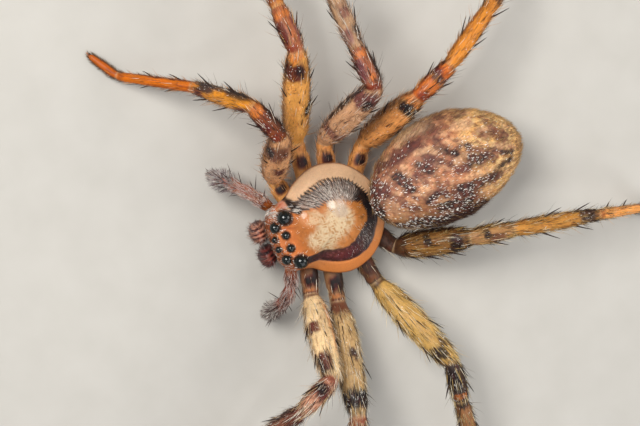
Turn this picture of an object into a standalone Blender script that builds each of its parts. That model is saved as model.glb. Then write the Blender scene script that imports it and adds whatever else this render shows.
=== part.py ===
import math
import random

import bmesh
import bpy
from mathutils import Matrix, Vector

# The spider looks along -Y and stands on its eight feet. It is drawn in millimetres and
# brought down to metres at the end.
MM = 0.001
GAP = 0.10

# carapace
CARAPACE_LENGTH = 5.0
HEAD_FORWARD = 0.36
UNDERSIDE_Z = 1.95
BRIM_Z = 2.12
CROWN_Z = 3.45
FACE_Z = 2.85
BRIM_SHARE = 0.74
FACE_SHARE = 0.90
BRIM_RISE = 0.42

# share of the carapace's length from the face to the rear, and its half width there
CARAPACE_OUTLINE = (
    (0.0, 0.0), (0.0025, 0.55), (0.01, 0.85), (0.0225, 1.08), (0.04, 1.27), (0.0625, 1.40),
    (0.09, 1.47), (0.16, 1.58), (0.214, 1.70), (0.257, 1.94), (0.30, 2.11), (0.36, 2.29),
    (0.42, 2.42), (0.48, 2.49), (0.54, 2.50), (0.60, 2.45), (0.71, 2.26), (0.78, 2.02),
    (0.835, 1.74), (0.886, 1.38), (0.93, 1.02), (0.965, 0.68), (0.99, 0.34), (1.0, 0.0),
)

# eyes: sideways, forward, height and diameter of the right hand four
EYES = {
    "lateral_rear": (1.03, 2.00, 2.96, 0.63),
    "lateral_front": (0.75, 2.53, 2.82, 0.46),
    "middle_rear": (0.30, 2.21, 3.02, 0.36),
    "middle_front": (0.23, 2.70, 2.74, 0.30),
}
SOCKET_GAP = 0.05

# chelicerae, fangs and palps
CHELICERA_WIDTH = 0.98
CHELICERA_OUT = 0.56
CHELICERA_LINE = ((-3.20, 2.22), (-3.20, 2.06), (-3.175, 1.87), (-3.13, 1.60), (-3.10, 1.32),
                  (-3.06, 1.10), (-3.02, 0.95))
CHELICERA_WIDE = (0.48, 0.76, 0.92, 1.0, 0.96, 0.80, 0.52)
CHELICERA_DEEP = (0.32, 0.56, 0.76, 0.90, 0.94, 0.80, 0.52)
FANG_LENGTH = 0.75
PALP_WIDTH = 0.62

# sternum, pedicel, abdomen and spinnerets
STERNUM_BOTTOM_Z = 1.0
STERNUM_HALF_WIDTH = 0.92
ABDOMEN_START = 1.60
ABDOMEN_LENGTH = 7.20
ABDOMEN_WIDTH = 4.65
ABDOMEN_X = -0.21
ABDOMEN_HEIGHT = 3.5
ABDOMEN_Z = 3.0
SPINNERET_LENGTH = 0.75
SPINNERET_WIDTH = 0.5

# legs: lengths and widths of the pairs from front to rear
FEMUR_LENGTHS = (4.4, 5.3, 4.9, 3.7)
PATELLA_LENGTHS = (1.95, 2.05, 1.85, 1.9)
TIBIA_LENGTHS = (4.0, 4.4, 3.5, 4.0)
METATARSUS_LENGTHS = (3.7, 4.1, 3.3, 4.2)
TARSUS_LENGTHS = (1.5, 1.6, 1.3, 1.45)
COXA_WIDTH = 0.82
FEMUR_WIDTH = 1.22
PATELLA_WIDTH = 0.84
TIBIA_WIDTH = 0.78
METATARSUS_WIDTH = 0.52
TARSUS_WIDTH = 0.42
ANKLE_Z = 0.42
TOE_Z = 0.12

# spines of the legs: share of the length, turn round the leg from the top, and length
FEMUR_SPINES = ((0.26, 8, 0.72), (0.52, -6, 0.88), (0.78, 10, 0.80),
                (0.40, 62, 0.84), (0.72, 66, 0.78), (0.58, -64, 0.84))
TIBIA_SPINES = ((0.30, 74, 0.80), (0.70, 70, 0.74), (0.34, -72, 0.80), (0.72, -74, 0.74),
                (0.42, 152, 0.78), (0.46, -152, 0.78))
METATARSUS_SPINES = ((0.20, 118, 0.62), (0.55, 122, 0.58), (0.22, -120, 0.62), (0.57, -118, 0.58))
PATELLA_SPINES = ((0.50, 78, 0.60), (0.52, -80, 0.60), (0.30, 0, 0.80))
SPINE_WIDTH = 0.20
SPINE_LEAN = 60
SPINE_SINK = 0.16

# sides on which a neighbour is close, where the spines are short and lie down
TIGHT = {
    "left_1": Vector((0, 1, 0)), "left_2": Vector((0, -1, 0)),
    "left_4": Vector((-1, 0, 0)), "right_4": Vector((1, 0, 0)),
}

# bristle brushes at the tips of the palps
BRUSH_LOCKS = 13
BRUSH_LENGTH = 0.72
BRUSH_WIDTH = 0.20
BRUSH_THICKNESS = 0.12

# where each coxa leaves the sternum and where its femur starts
COXA_ROOTS = ((0.98, -1.42), (1.12, -0.50), (1.12, 0.46), (0.86, 1.34))
HIPS = {
    "right_1": (2.56, -1.72), "right_2": (3.70, -0.22),
    "right_3": (3.27, 0.92), "right_4": (2.50, 2.48),
    "left_1": (2.95, -2.00), "left_2": (3.70, -0.98),
    "left_3": (3.50, 0.90), "left_4": (2.38, 2.22),
}
COXA_Z = 1.38
HIP_Z = 1.55

# pose: turn from straight ahead to the outside, and rise, of each leg's lengths
POSE = {
    "right_1": ((104, 58), (68, 18), (33, -59), 26),
    "right_2": ((104, 37), (90, -23), (90, -22), 88),
    "right_3": ((140, 51), (86, -8), (92, -34), 98),
    "right_4": ((151, 37), (156, 4), (149, -12), 150),
    "left_1": ((77, 46), (18, 22), (30, -44), 26),
    "left_2": ((74, 34), (72, -14), (70, -30), 66),
    "left_3": ((112, 22), (84, -6), (88, -18), 92),
    "left_4": ((174, 36), (169, 2), (166, -7), 154),
}
TOE_TURNS = {"right_1": 58}


def paint(name, colour, roughness):
    material = bpy.data.materials.new(name)
    material.use_nodes = True
    shader = material.node_tree.nodes["Principled BSDF"]
    shader.inputs["Base Color"].default_value = (*colour, 1.0)
    shader.inputs["Roughness"].default_value = roughness
    shader.inputs["Metallic"].default_value = 0.0
    return material


def heading(turn, rise, side):
    turn, rise = math.radians(turn), math.radians(rise)
    flat = math.cos(rise)
    return Vector((side * math.sin(turn) * flat, -math.cos(turn) * flat, math.sin(rise)))


def solid(name, verts, faces, material, at, root):
    """Makes one closed body whose own origin lies at the given point."""
    at = Vector(at)
    mesh = bpy.data.meshes.new(name)
    mesh.from_pydata([tuple(Vector(v) - at) for v in verts], [], faces)
    shape = bmesh.new()
    shape.from_mesh(mesh)
    bmesh.ops.recalc_face_normals(shape, faces=shape.faces)
    bmesh.ops.triangulate(shape, faces=shape.faces)
    shape.to_mesh(mesh)
    shape.free()
    for polygon in mesh.polygons:
        polygon.use_smooth = True
    body = bpy.data.objects.new(name, mesh)
    body.location = at
    bpy.context.collection.objects.link(body)
    body.data.materials.append(material)
    body.parent = root
    return body


def rings(path, widths, heights, sides, start=None, end=None, floor=None):
    """Rings round a path. Start and end may be planes that the end rings lie in."""
    verts = []
    last = len(path) - 1
    for i, point in enumerate(path):
        back = path[max(i - 1, 0)]
        ahead = path[min(i + 1, last)]
        along = (ahead - back).normalized()
        across = along.cross(Vector((0, 0, 1)))
        across = across.normalized() if across.length > 0.05 else Vector((1, 0, 0))
        upward = across.cross(along)
        for k in range(sides):
            angle = 2 * math.pi * (k + 0.5) / sides
            spot = (point + across * math.cos(angle) * widths[i] / 2
                    + upward * math.sin(angle) * heights[i] / 2)
            plane = start if i == 0 else end if i == last else None
            if plane:
                origin, normal = plane
                spot = spot + along * (origin - spot).dot(normal) / along.dot(normal)
            if floor is not None and spot.z < floor:
                spot.z = floor
            verts.append(spot)
    return verts


def skin(count, sides):
    """Faces of a row of rings, closed by one face at each end."""
    faces = []
    for i in range(count - 1):
        for k in range(sides):
            a, b = i * sides + k, i * sides + (k + 1) % sides
            faces.append((a, b, b + sides, a + sides))
    faces.append(tuple(range(sides)))
    faces.append(tuple(range((count - 1) * sides, count * sides)))
    return faces


def limb(name, path, widths, heights, sides, material, root, start=None, end=None, floor=None):
    verts = rings(path, widths, heights, sides, start, end, floor)
    return solid(name, verts, skin(len(path), sides), material, path[0], root)


def straight(start, end, shares):
    return [start.lerp(end, share) for share in shares]


def spine_path(root_point, outward, along, length, lean, bend):
    """A spine leans towards the far end of its leg and bends over a little more at its tip."""
    lean = math.radians(lean)
    way = outward * math.cos(lean) + along * math.sin(lean)
    tip = root_point + way * length + along * length * bend
    middle = root_point + way * length * 0.55
    return [root_point - outward * SPINE_SINK, middle, tip]


def add_spines(body, start, end, width, spines, seed, material, root, tight=None):
    """Fuses a row of spines to one straight length of a leg."""
    draw = random.Random(seed)
    along = (end - start).normalized()
    across = along.cross(Vector((0, 0, 1))).normalized()
    upward = across.cross(along)
    group = bpy.data.collections.new("spines")
    bpy.context.scene.collection.children.link(group)
    for share, turn, length in spines:
        turn = math.radians(turn + draw.uniform(-7, 7))
        outward = across * math.sin(turn) + upward * math.cos(turn)
        base = start.lerp(end, share + draw.uniform(-0.02, 0.02)) + outward * width * 0.46
        length *= draw.uniform(0.9, 1.08)
        lean = SPINE_LEAN + draw.uniform(-8, 8)
        if tight and outward.dot(tight) > 0.25:
            length, lean = length * 0.5, 74
        path = spine_path(base, outward, along, length, lean, 0.12)
        sizes = [SPINE_WIDTH * share for share in (1.1, 0.66, 0.16)]
        spine = limb("spine", path, sizes, sizes, 4, material, root)
        bpy.context.collection.objects.unlink(spine)
        group.objects.link(spine)
    blend(body, group, "UNION", "MANIFOLD")
    keep_largest(body)


def keep_largest(body):
    """Drops every loose surface but the largest one."""
    shape = bmesh.new()
    shape.from_mesh(body.data)
    left = set(shape.verts)
    best = set()
    while left:
        front = [left.pop()]
        found = set(front)
        while front:
            for edge in front.pop().link_edges:
                for vertex in edge.verts:
                    if vertex in left:
                        left.discard(vertex)
                        found.add(vertex)
                        front.append(vertex)
        if len(found) > len(best):
            best = found
    extra = [vertex for vertex in shape.verts if vertex not in best]
    bmesh.ops.delete(shape, geom=extra, context="VERTS")
    bmesh.ops.triangulate(shape, faces=shape.faces)
    shape.to_mesh(body.data)
    shape.free()


def joint_planes(point, before, after, gap):
    """The two faces where one length of a leg meets the next."""
    normal = (before + after).normalized()
    return (point - normal * gap / 2, normal), (point + normal * gap / 2, normal)


def leg_points(key):
    """Joints of one leg from the sternum to the tip of the foot."""
    word, number = key.split("_")
    side = -1 if word == "right" else 1
    pair = int(number) - 1
    root_x, root_y = COXA_ROOTS[pair]
    hip_x, hip_y = HIPS[key]
    femur, patella, tibia, foot_turn = POSE[key]
    points = [Vector((side * root_x, root_y, COXA_Z)), Vector((side * hip_x, hip_y, HIP_Z))]
    lengths = (FEMUR_LENGTHS, PATELLA_LENGTHS, TIBIA_LENGTHS)
    for (turn, rise), sizes in zip((femur, patella, tibia), lengths):
        points.append(points[-1] + heading(turn, rise, side) * sizes[pair])
    toe_turn = TOE_TURNS.get(key, foot_turn)
    for height, sizes, turn in ((ANKLE_Z, METATARSUS_LENGTHS, foot_turn),
                                (TOE_Z, TARSUS_LENGTHS, toe_turn)):
        drop = math.degrees(math.asin((height - points[-1].z) / sizes[pair]))
        points.append(points[-1] + heading(turn, drop, side) * sizes[pair])
    return points


def build_leg(key, finish, root):
    points = leg_points(key)
    ways = [(b - a).normalized() for a, b in zip(points, points[1:])]
    hip = joint_planes(points[1], ways[0], ways[1], GAP)
    knee = joint_planes(points[2], ways[1], ways[2], GAP)
    shin = joint_planes(points[3], ways[2], ways[3], GAP)
    ankle = joint_planes(points[4], ways[3], ways[4], GAP)
    parts = (
        ("coxa", 0, COXA_WIDTH, (0.0, 0.25, 0.6, 0.8, 1.0), (0.62, 0.9, 1.0, 0.98, 0.84),
         None, hip[0], 12),
        ("femur", 1, FEMUR_WIDTH, (0.0, 0.13, 0.34, 0.62, 0.86, 1.0),
         (0.62, 0.86, 1.0, 0.98, 0.84, 0.66), hip[1], knee[0], 12),
        ("patella", 2, PATELLA_WIDTH, (0.0, 0.22, 0.5, 0.78, 1.0),
         (0.8, 0.98, 1.0, 0.95, 0.8), knee[1], shin[0], 12),
        ("tibia", 3, TIBIA_WIDTH, (0.0, 0.12, 0.35, 0.65, 0.88, 1.0),
         (0.82, 0.98, 1.0, 0.94, 0.84, 0.72), shin[1], ankle[0], 12),
    )
    rows = {"femur": FEMUR_SPINES, "patella": PATELLA_SPINES, "tibia": TIBIA_SPINES}
    for word, i, width, shares, profile, start, end, sides in parts:
        path = straight(points[i], points[i + 1], shares)
        sizes = [width * share for share in profile]
        name = word + "_" + key
        body = limb(name, path, sizes, sizes, sides, finish[word], root, start, end)
        if word in rows:
            seed = 10 * len(name) + 100 * i + list(POSE).index(key)
            tight = TIGHT.get(key) if word == "femur" else None
            add_spines(body, points[i], points[i + 1], width, rows[word], seed, finish[word],
                       root, tight)
    path = straight(points[4], points[5], (0.0, 0.12, 0.5, 0.88))
    path += [points[5]] + straight(points[5], points[6], (0.16, 0.55, 0.85, 1.0))
    sizes = [METATARSUS_WIDTH * share for share in (0.94, 1.0, 0.94, 0.84, 0.8)]
    sizes += [TARSUS_WIDTH * share for share in (0.98, 1.0, 0.86, 0.5)]
    foot = limb("foot_" + key, path, sizes, sizes, 10, finish["foot"], root, ankle[1], None, 0.0)
    seed = 900 + list(POSE).index(key)
    add_spines(foot, points[4], points[5], METATARSUS_WIDTH, METATARSUS_SPINES, seed,
               finish["foot"], root)


def carapace_edge(angle):
    """Outline of the carapace from above: blunt head, round sides, flat rear."""
    share = (1 - math.cos(angle)) / 2
    place = math.sqrt(share)
    for (low, narrow), (high, wide) in zip(CARAPACE_OUTLINE, CARAPACE_OUTLINE[1:]):
        if share <= high:
            part = (place - math.sqrt(low)) / (math.sqrt(high) - math.sqrt(low))
            half = narrow + (wide - narrow) * part
            break
    ahead = max(0.0, math.cos(angle))
    y = (share - 0.5) * CARAPACE_LENGTH - HEAD_FORWARD * ahead ** 2
    y -= 22 * max(0.0, share - 0.9) ** 2
    return Vector((math.copysign(half, math.sin(angle)), y, 0))


def carapace_height(share, angle):
    """Height above the underside, from the outer edge at 1 to the crown at 0."""
    head = min(1.0, max(0.0, (math.cos(angle) - 0.45) / 0.40))
    head = head * head * (3 - 2 * head)
    if share > BRIM_SHARE:
        body = BRIM_Z + BRIM_RISE * ((1 - share) / (1 - BRIM_SHARE)) ** 0.9
    else:
        low = BRIM_Z + BRIM_RISE
        body = low + (CROWN_Z - low) * (1 - (share / BRIM_SHARE) ** 2.2)
    if share > FACE_SHARE:
        face = BRIM_Z + (FACE_Z - BRIM_Z) * ((1 - share) / (1 - FACE_SHARE)) ** 0.5
    else:
        face = FACE_Z + (CROWN_Z - FACE_Z) * (1 - (share / FACE_SHARE) ** 1.6)
    return body + (face - body) * head


def build_carapace(finish, root):
    sides = 36
    shares = (1.0, 0.975, 0.935, 0.9, 0.84, 0.74, 0.6, 0.45, 0.3, 0.15)
    verts = []
    centre = Vector((0, 0.1, 0))
    for share in shares:
        for k in range(sides):
            angle = 2 * math.pi * k / sides
            spot = centre + (carapace_edge(angle) - centre) * share
            spot.z = carapace_height(share, angle)
            verts.append(spot)
    faces = []
    for i in range(len(shares) - 1):
        for k in range(sides):
            a, b = i * sides + k, i * sides + (k + 1) % sides
            faces.append((a, b, b + sides, a + sides))
    top = len(verts)
    verts.append(Vector((0, 0.1, CROWN_Z)))
    last = (len(shares) - 1) * sides
    for k in range(sides):
        faces.append((last + k, last + (k + 1) % sides, top))
    below = len(verts)
    for k in range(sides):
        edge = carapace_edge(2 * math.pi * k / sides)
        verts.append(Vector((edge.x * 0.97, edge.y * 0.97, UNDERSIDE_Z)))
    for k in range(sides):
        faces.append((k, (k + 1) % sides, below + (k + 1) % sides, below + k))
    faces.append(tuple(range(below, below + sides)))
    shell = solid("carapace", verts, faces, finish["carapace"], (0, 0, UNDERSIDE_Z), root)
    sockets = bpy.data.collections.new("sockets")
    bpy.context.scene.collection.children.link(sockets)
    for word, (out, forward, height, wide) in EYES.items():
        for side, hand in ((-1, "right"), (1, "left")):
            spot = (side * out, -forward, height)
            ball("eye_" + word + "_" + hand, spot, wide / 2, finish["eye"], root, 14, 8)
            hole = ball("socket", spot, wide / 2 + SOCKET_GAP, finish["carapace"], root, 14, 8)
            bpy.context.collection.objects.unlink(hole)
            sockets.objects.link(hole)
    blend(shell, sockets, "DIFFERENCE", "EXACT")


def ball(name, at, radius, material, root, sides, levels):
    verts = [Vector(at) + Vector((0, 0, radius)), Vector(at) - Vector((0, 0, radius))]
    for i in range(1, levels):
        lift = math.pi * i / levels
        for k in range(sides):
            turn = 2 * math.pi * k / sides
            verts.append(Vector(at) + radius * Vector((
                math.sin(lift) * math.cos(turn), math.sin(lift) * math.sin(turn), math.cos(lift))))
    faces = []
    for k in range(sides):
        after = (k + 1) % sides
        faces.append((0, 2 + k, 2 + after))
        low = 2 + (levels - 2) * sides
        faces.append((1, low + after, low + k))
        for i in range(levels - 2):
            a, b = 2 + i * sides + k, 2 + i * sides + after
            faces.append((a, a + sides, b + sides, b))
    return solid(name, verts, faces, material, at, root)


def blend(body, group, action, solver):
    """Joins a collection of closed meshes to a body, or cuts them out of it."""
    step = body.modifiers.new("blend", "BOOLEAN")
    step.operation = action
    step.solver = solver
    step.operand_type = "COLLECTION"
    step.collection = group
    bpy.context.view_layer.update()
    graph = bpy.context.evaluated_depsgraph_get()
    mesh = bpy.data.meshes.new_from_object(body.evaluated_get(graph))
    body.modifiers.remove(step)
    body.data = mesh
    for extra in list(group.objects):
        bpy.data.objects.remove(extra, do_unlink=True)
    bpy.data.collections.remove(group)


def build_face(finish, root):
    for side, hand in ((-1, "right"), (1, "left")):
        out = side * CHELICERA_OUT
        path = [Vector((out, y, z)) for y, z in CHELICERA_LINE]
        wide = [CHELICERA_WIDTH * size for size in CHELICERA_WIDE]
        deep = [CHELICERA_WIDTH * size for size in CHELICERA_DEEP]
        limb("chelicera_" + hand, path, wide, deep, 14, finish["chelicera"], root)
        tip = Vector((out * 0.84, -3.02, 0.78))
        shares = (0.0, 0.3, 0.6, 0.85, 1.0)
        reach = Vector((-side * 0.16, FANG_LENGTH, -0.10))
        path = [tip + reach * s + Vector((0, 0, -0.12 * math.sin(math.pi * s))) for s in shares]
        sizes = [0.24, 0.21, 0.16, 0.1, 0.04]
        limb("fang_" + hand, path, sizes, sizes, 10, finish["fang"], root)


def palp_path(side):
    turns = (60, 50, 46, 42) if side < 0 else (62, 46, 34, 24)
    rises = (34, 4, -26, -36) if side < 0 else (40, 6, -36, -52)
    sizes = (1.15, 0.62, 0.72, 0.85)
    points = [Vector((side * 1.34, -2.30, 1.34))]
    for turn, rise, size in zip(turns, rises, sizes):
        points.append(points[-1] + heading(turn, rise, side) * size)
    return points


def build_palps(finish, root):
    for side, hand in ((-1, "right"), (1, "left")):
        points = palp_path(side)
        path, sizes = [points[0]], [PALP_WIDTH * 0.7]
        for a, b in zip(points, points[1:]):
            path += [a.lerp(b, 0.2), a.lerp(b, 0.55), a.lerp(b, 0.93)]
            sizes += [PALP_WIDTH * s for s in (0.86, 1.0, 0.84)]
        path.append(points[-1])
        sizes[-2:] = [PALP_WIDTH * 0.9, PALP_WIDTH * 0.62]
        sizes.append(PALP_WIDTH * 0.4)
        palp = limb("palp_" + hand, path, sizes, sizes, 12, finish["palp"], root)
        add_brush(palp, points[-2], points[-1], side, finish["palp"], root)


def add_brush(palp, start, end, side, material, root):
    """Flat tapered locks that stand out round the last length of a palp, all leaning ahead."""
    draw = random.Random(31 + side)
    along = (end - start).normalized()
    across = along.cross(Vector((0, 0, 1))).normalized()
    upward = across.cross(along)
    group = bpy.data.collections.new("brush")
    bpy.context.scene.collection.children.link(group)
    for k in range(BRUSH_LOCKS):
        turn = 2.4 * k + 0.3
        share = 0.25 + 0.7 * k / (BRUSH_LOCKS - 1)
        outward = across * math.sin(turn) + upward * math.cos(turn)
        base = start.lerp(end, share) + outward * PALP_WIDTH * 0.34 * (1.2 - 0.5 * share)
        lean = math.radians(46 + 34 * share + draw.uniform(-6, 6))
        way = outward * math.cos(lean) + along * math.sin(lean)
        length = BRUSH_LENGTH * draw.uniform(0.8, 1.05)
        path = [base - outward * 0.07, base + way * length * 0.5,
                base + way * length + along * 0.05]
        wide = [BRUSH_WIDTH * size for size in (1.0, 0.9, 0.2)]
        thick = [BRUSH_THICKNESS * size for size in (1.0, 0.85, 0.4)]
        lock = limb("lock", path, wide, thick, 6, material, root)
        bpy.context.collection.objects.unlink(lock)
        group.objects.link(lock)
    blend(palp, group, "UNION", "MANIFOLD")
    keep_largest(palp)


def build_under(finish, root):
    outline = []
    count = 28
    for k in range(count):
        angle = 2 * math.pi * k / count
        y = -math.cos(angle) * 1.95 - 0.2
        x = math.sin(angle) * STERNUM_HALF_WIDTH * (1 - 0.25 * max(0, y) / 1.8)
        outline.append(Vector((x, y, 0)))
    verts = []
    levels = ((UNDERSIDE_Z - GAP, 0.55), (1.7, 0.6), (1.35, 0.64), (1.1, 0.6),
              (STERNUM_BOTTOM_Z, 0.42))
    for height, share in levels:
        for spot in outline:
            verts.append(Vector((spot.x * share, spot.y * (share + 0.3), height)))
    solid("sternum", verts, skin(len(levels), count), finish["coxa"], (0, 0, 1.4), root)
    start = Vector((0, 1.76, 1.54))
    end = Vector((0, 2.64, 1.88))
    bend = Vector((0, 2.32, 1.58))
    path = [start, start.lerp(bend, 0.5), bend, end]
    sizes = [0.5, 0.46, 0.46, 0.46]
    facing = (start, Vector((0, 1, 0)))
    ending = (end, Vector((0, 0.55, 0.83)))
    limb("pedicel", path, sizes, sizes, 12, finish["coxa"], root, facing, ending)


def abdomen_size(share):
    """Half width and half height shares along the abdomen."""
    swell = math.sin(math.pi * share) ** 0.49 if 0 < share < 1 else 0.0
    return swell


def build_abdomen(finish, root):
    shares = (0.012, 0.04, 0.09, 0.16, 0.25, 0.36, 0.48, 0.6, 0.71, 0.81, 0.89, 0.95, 0.985)
    path, wide, tall = [], [], []
    for share in shares:
        swell = abdomen_size(share)
        lift = 0.12 * math.sin(math.pi * share) + 0.50 * (1 - share) ** 4
        path.append(Vector((ABDOMEN_X - 0.34 * math.sin(math.pi * share * 0.7),
                            ABDOMEN_START + ABDOMEN_LENGTH * share, ABDOMEN_Z + lift)))
        wide.append(ABDOMEN_WIDTH * swell)
        tall.append(ABDOMEN_HEIGHT * swell)
    limb("abdomen", path, wide, tall, 28, finish["abdomen"], root)
    back = ABDOMEN_START + ABDOMEN_LENGTH
    for side, hand in ((-1, "right"), (1, "left")):
        start = Vector((ABDOMEN_X - 0.26 + side * 0.30, back - 0.52, ABDOMEN_Z - 0.96))
        end = start + Vector((side * 0.06, SPINNERET_LENGTH * 0.8, -SPINNERET_LENGTH * 0.5))
        path = straight(start, end, (0.0, 0.15, 0.5, 0.8, 1.0))
        sizes = [SPINNERET_WIDTH * s for s in (0.8, 1.0, 0.95, 0.75, 0.4)]
        limb("spinneret_" + hand, path, sizes, sizes, 10, finish["spinneret"], root)


def main():
    for item in list(bpy.data.objects):
        bpy.data.objects.remove(item, do_unlink=True)
    finish = {
        "carapace": paint("carapace_tan", (0.55, 0.32, 0.19), 0.55),
        "abdomen": paint("abdomen_brown", (0.38, 0.25, 0.18), 0.6),
        "chelicera": paint("chelicera_maroon", (0.20, 0.06, 0.05), 0.5),
        "fang": paint("fang_black", (0.03, 0.015, 0.012), 0.2),
        "eye": paint("eye_black", (0.01, 0.01, 0.012), 0.05),
        "palp": paint("palp_brown", (0.36, 0.17, 0.08), 0.55),
        "coxa": paint("coxa_straw", (0.60, 0.38, 0.18), 0.5),
        "femur": paint("femur_tan", (0.52, 0.31, 0.16), 0.55),
        "patella": paint("patella_red", (0.40, 0.13, 0.05), 0.4),
        "tibia": paint("tibia_amber", (0.50, 0.24, 0.08), 0.45),
        "foot": paint("foot_orange", (0.58, 0.28, 0.09), 0.45),
        "spinneret": paint("spinneret_grey", (0.14, 0.11, 0.09), 0.6),
    }
    root = bpy.data.objects.new("spider", None)
    bpy.context.collection.objects.link(root)
    build_carapace(finish, root)
    build_face(finish, root)
    build_palps(finish, root)
    build_under(finish, root)
    build_abdomen(finish, root)
    for key in POSE:
        build_leg(key, finish, root)
    low, high = Vector((1, 1, 1)), Vector((-1, -1, -1))
    bodies = [item for item in bpy.data.objects if item.type == "MESH"]
    for item in bodies:
        item.data.transform(Matrix.Scale(MM, 4))
        item.location *= MM
    bpy.context.view_layer.update()
    for item in bodies:
        for vertex in item.data.vertices:
            spot = item.matrix_world @ vertex.co
            low = Vector(map(min, low, spot))
            high = Vector(map(max, high, spot))
    root.location = (-(low.x + high.x) / 2, -(low.y + high.y) / 2, -low.z)


main()
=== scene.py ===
import math
import random

import bpy
import numpy as np
from mathutils import Matrix, Vector


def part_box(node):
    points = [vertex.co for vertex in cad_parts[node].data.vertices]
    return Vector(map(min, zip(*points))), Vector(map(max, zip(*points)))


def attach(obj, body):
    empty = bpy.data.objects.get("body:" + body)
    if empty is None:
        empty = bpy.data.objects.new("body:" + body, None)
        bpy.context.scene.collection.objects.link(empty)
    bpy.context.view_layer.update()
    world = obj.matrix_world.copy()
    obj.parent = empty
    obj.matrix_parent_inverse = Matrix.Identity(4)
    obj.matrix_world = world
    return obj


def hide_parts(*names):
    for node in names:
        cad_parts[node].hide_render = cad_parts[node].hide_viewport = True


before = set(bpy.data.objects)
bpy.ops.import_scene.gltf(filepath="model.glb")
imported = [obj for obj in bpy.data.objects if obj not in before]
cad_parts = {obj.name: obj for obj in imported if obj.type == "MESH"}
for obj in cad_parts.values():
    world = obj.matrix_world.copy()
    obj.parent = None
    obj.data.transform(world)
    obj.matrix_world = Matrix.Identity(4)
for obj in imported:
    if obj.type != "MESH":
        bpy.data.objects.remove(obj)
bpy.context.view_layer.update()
mm = 0.001

# every piece is worked out in millimetres from the middle of the carapace, then set where the frame stands
eyeLow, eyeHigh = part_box("eye_middle_rear_right")
rowShift = np.array((eyeLow + eyeHigh) / 2) / mm - np.array((-0.30, -2.21, 3.02))
print("frame loaded, shift", np.round(rowShift, 3))


# small helpers

def ink(r, g, b):  # screen colour 0-255 to linear light
    c = np.array((r, g, b), float) / 255
    return np.where(c > 0.04, ((c + 0.055) / 1.055) ** 2.4, c / 12.92)


def unit(v):
    return v / np.maximum(np.linalg.norm(v, axis=-1, keepdims=True), 1e-9)


def ease(value, low, high):  # 0 below low, 1 above high, soft between
    share = np.clip((value - low) / (high - low), 0, 1)
    return share * share * (3 - 2 * share)


def hump(value, centre, wide):  # 1 at the centre, 0 about twice the width away
    return np.exp(-((value - centre) / wide) ** 2)


def blend(colour, other, amount):
    amount = np.asarray(amount)[..., None]
    return colour * (1 - amount) + other * amount


def lumps(spots, size, seed):  # soft random lumps 0-1, one about every size mm
    spots = spots / size + seed * 7.31
    cell = np.floor(spots).astype(np.int64)
    part = spots - cell
    part = part * part * (3 - 2 * part)
    total = np.zeros(len(spots))
    for dx in (0, 1):
        for dy in (0, 1):
            for dz in (0, 1):
                n = ((cell[:, 0] + dx) * 374761393 + (cell[:, 1] + dy) * 668265263
                     + (cell[:, 2] + dz) * 1440662683 + seed * 974634777)
                n = (n ^ (n >> 13)) * 1274126177
                n = ((n ^ (n >> 16)) & 0xffff) / 65535
                share = ((part[:, 0] if dx else 1 - part[:, 0])
                         * (part[:, 1] if dy else 1 - part[:, 1])
                         * (part[:, 2] if dz else 1 - part[:, 2]))
                total += n * share
    return total


def mottle(spots, size, seed):  # three sizes of lumps laid over each other
    return (lumps(spots, size, seed) * 0.55 + lumps(spots, size / 2.1, seed + 1) * 0.29
            + lumps(spots, size / 4.3, seed + 2) * 0.16)


def signedTurn(angle):  # an angle from 0 to a full turn, as one from minus half to half a turn
    return np.where(angle > math.pi, angle - 2 * math.pi, angle)


def wrapped(angle):  # any angle, brought between minus half and half a turn
    return (angle + math.pi) % (2 * math.pi) - math.pi


def softened(values):  # each value eased with its two neighbours, the ends kept
    return np.r_[values[0], np.convolve(values, (0.25, 0.5, 0.25), "valid"), values[-1]]


def titled(*words):  # words joined to one name, each with a capital
    return "".join(part.capitalize() for word in words for part in word.split("_"))


# meshes from arrays

def putMesh(name, verts, tris, colours, uv=None):
    mesh = bpy.data.meshes.new(name)
    corners = tris.ravel()
    mesh.vertices.add(len(verts))
    mesh.vertices.foreach_set("co", ((verts + rowShift) * mm).astype(np.float32).ravel())
    mesh.loops.add(len(corners))
    mesh.loops.foreach_set("vertex_index", corners.astype(np.int32))
    mesh.polygons.add(len(tris))
    mesh.polygons.foreach_set("loop_start", np.arange(0, len(corners), 3, dtype=np.int32))
    mesh.update(calc_edges=True)
    mesh.polygons.foreach_set("use_smooth", np.full(len(tris), True))
    tint = mesh.color_attributes.new("tint", "FLOAT_COLOR", "POINT")
    tint.data.foreach_set("color", np.c_[colours, np.ones(len(verts))].astype(np.float32).ravel())
    if uv is not None:
        layer = mesh.uv_layers.new(name="OFBake")
        layer.data.foreach_set("uv", uv[corners].astype(np.float32).ravel())
    mesh.validate()
    piece = bpy.data.objects.new(name, mesh)
    bpy.context.scene.collection.objects.link(piece)
    return piece


def tubeSkin(rings):  # a closed skin over rings of points (rows, sides, 3), its ends drawn to a point
    rows, sides = rings.shape[:2]
    i = np.arange(rows - 1)[:, None] * sides
    k = np.arange(sides)[None, :]
    after = (k + 1) % sides
    quads = np.stack([i + k, i + after, i + sides + after, i + sides + k], -1).reshape(-1, 4)
    verts = np.vstack([rings.reshape(-1, 3), rings[0].mean(0), rings[-1].mean(0)])
    first, last, top = rows * sides, rows * sides + 1, (rows - 1) * sides
    k, after = k[0], after[0]
    low = np.stack([np.full(sides, first), after, k], -1)
    high = np.stack([np.full(sides, last), top + k, top + after], -1)
    return verts, np.vstack([quads[:, [0, 1, 2]], quads[:, [0, 2, 3]], low, high])


def vertexNormals(verts, tris):
    cross = np.cross(verts[tris[:, 1]] - verts[tris[:, 0]], verts[tris[:, 2]] - verts[tris[:, 0]])
    normals = np.zeros_like(verts)
    for k in range(3):
        np.add.at(normals, tris[:, k], cross)
    return unit(normals)


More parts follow.
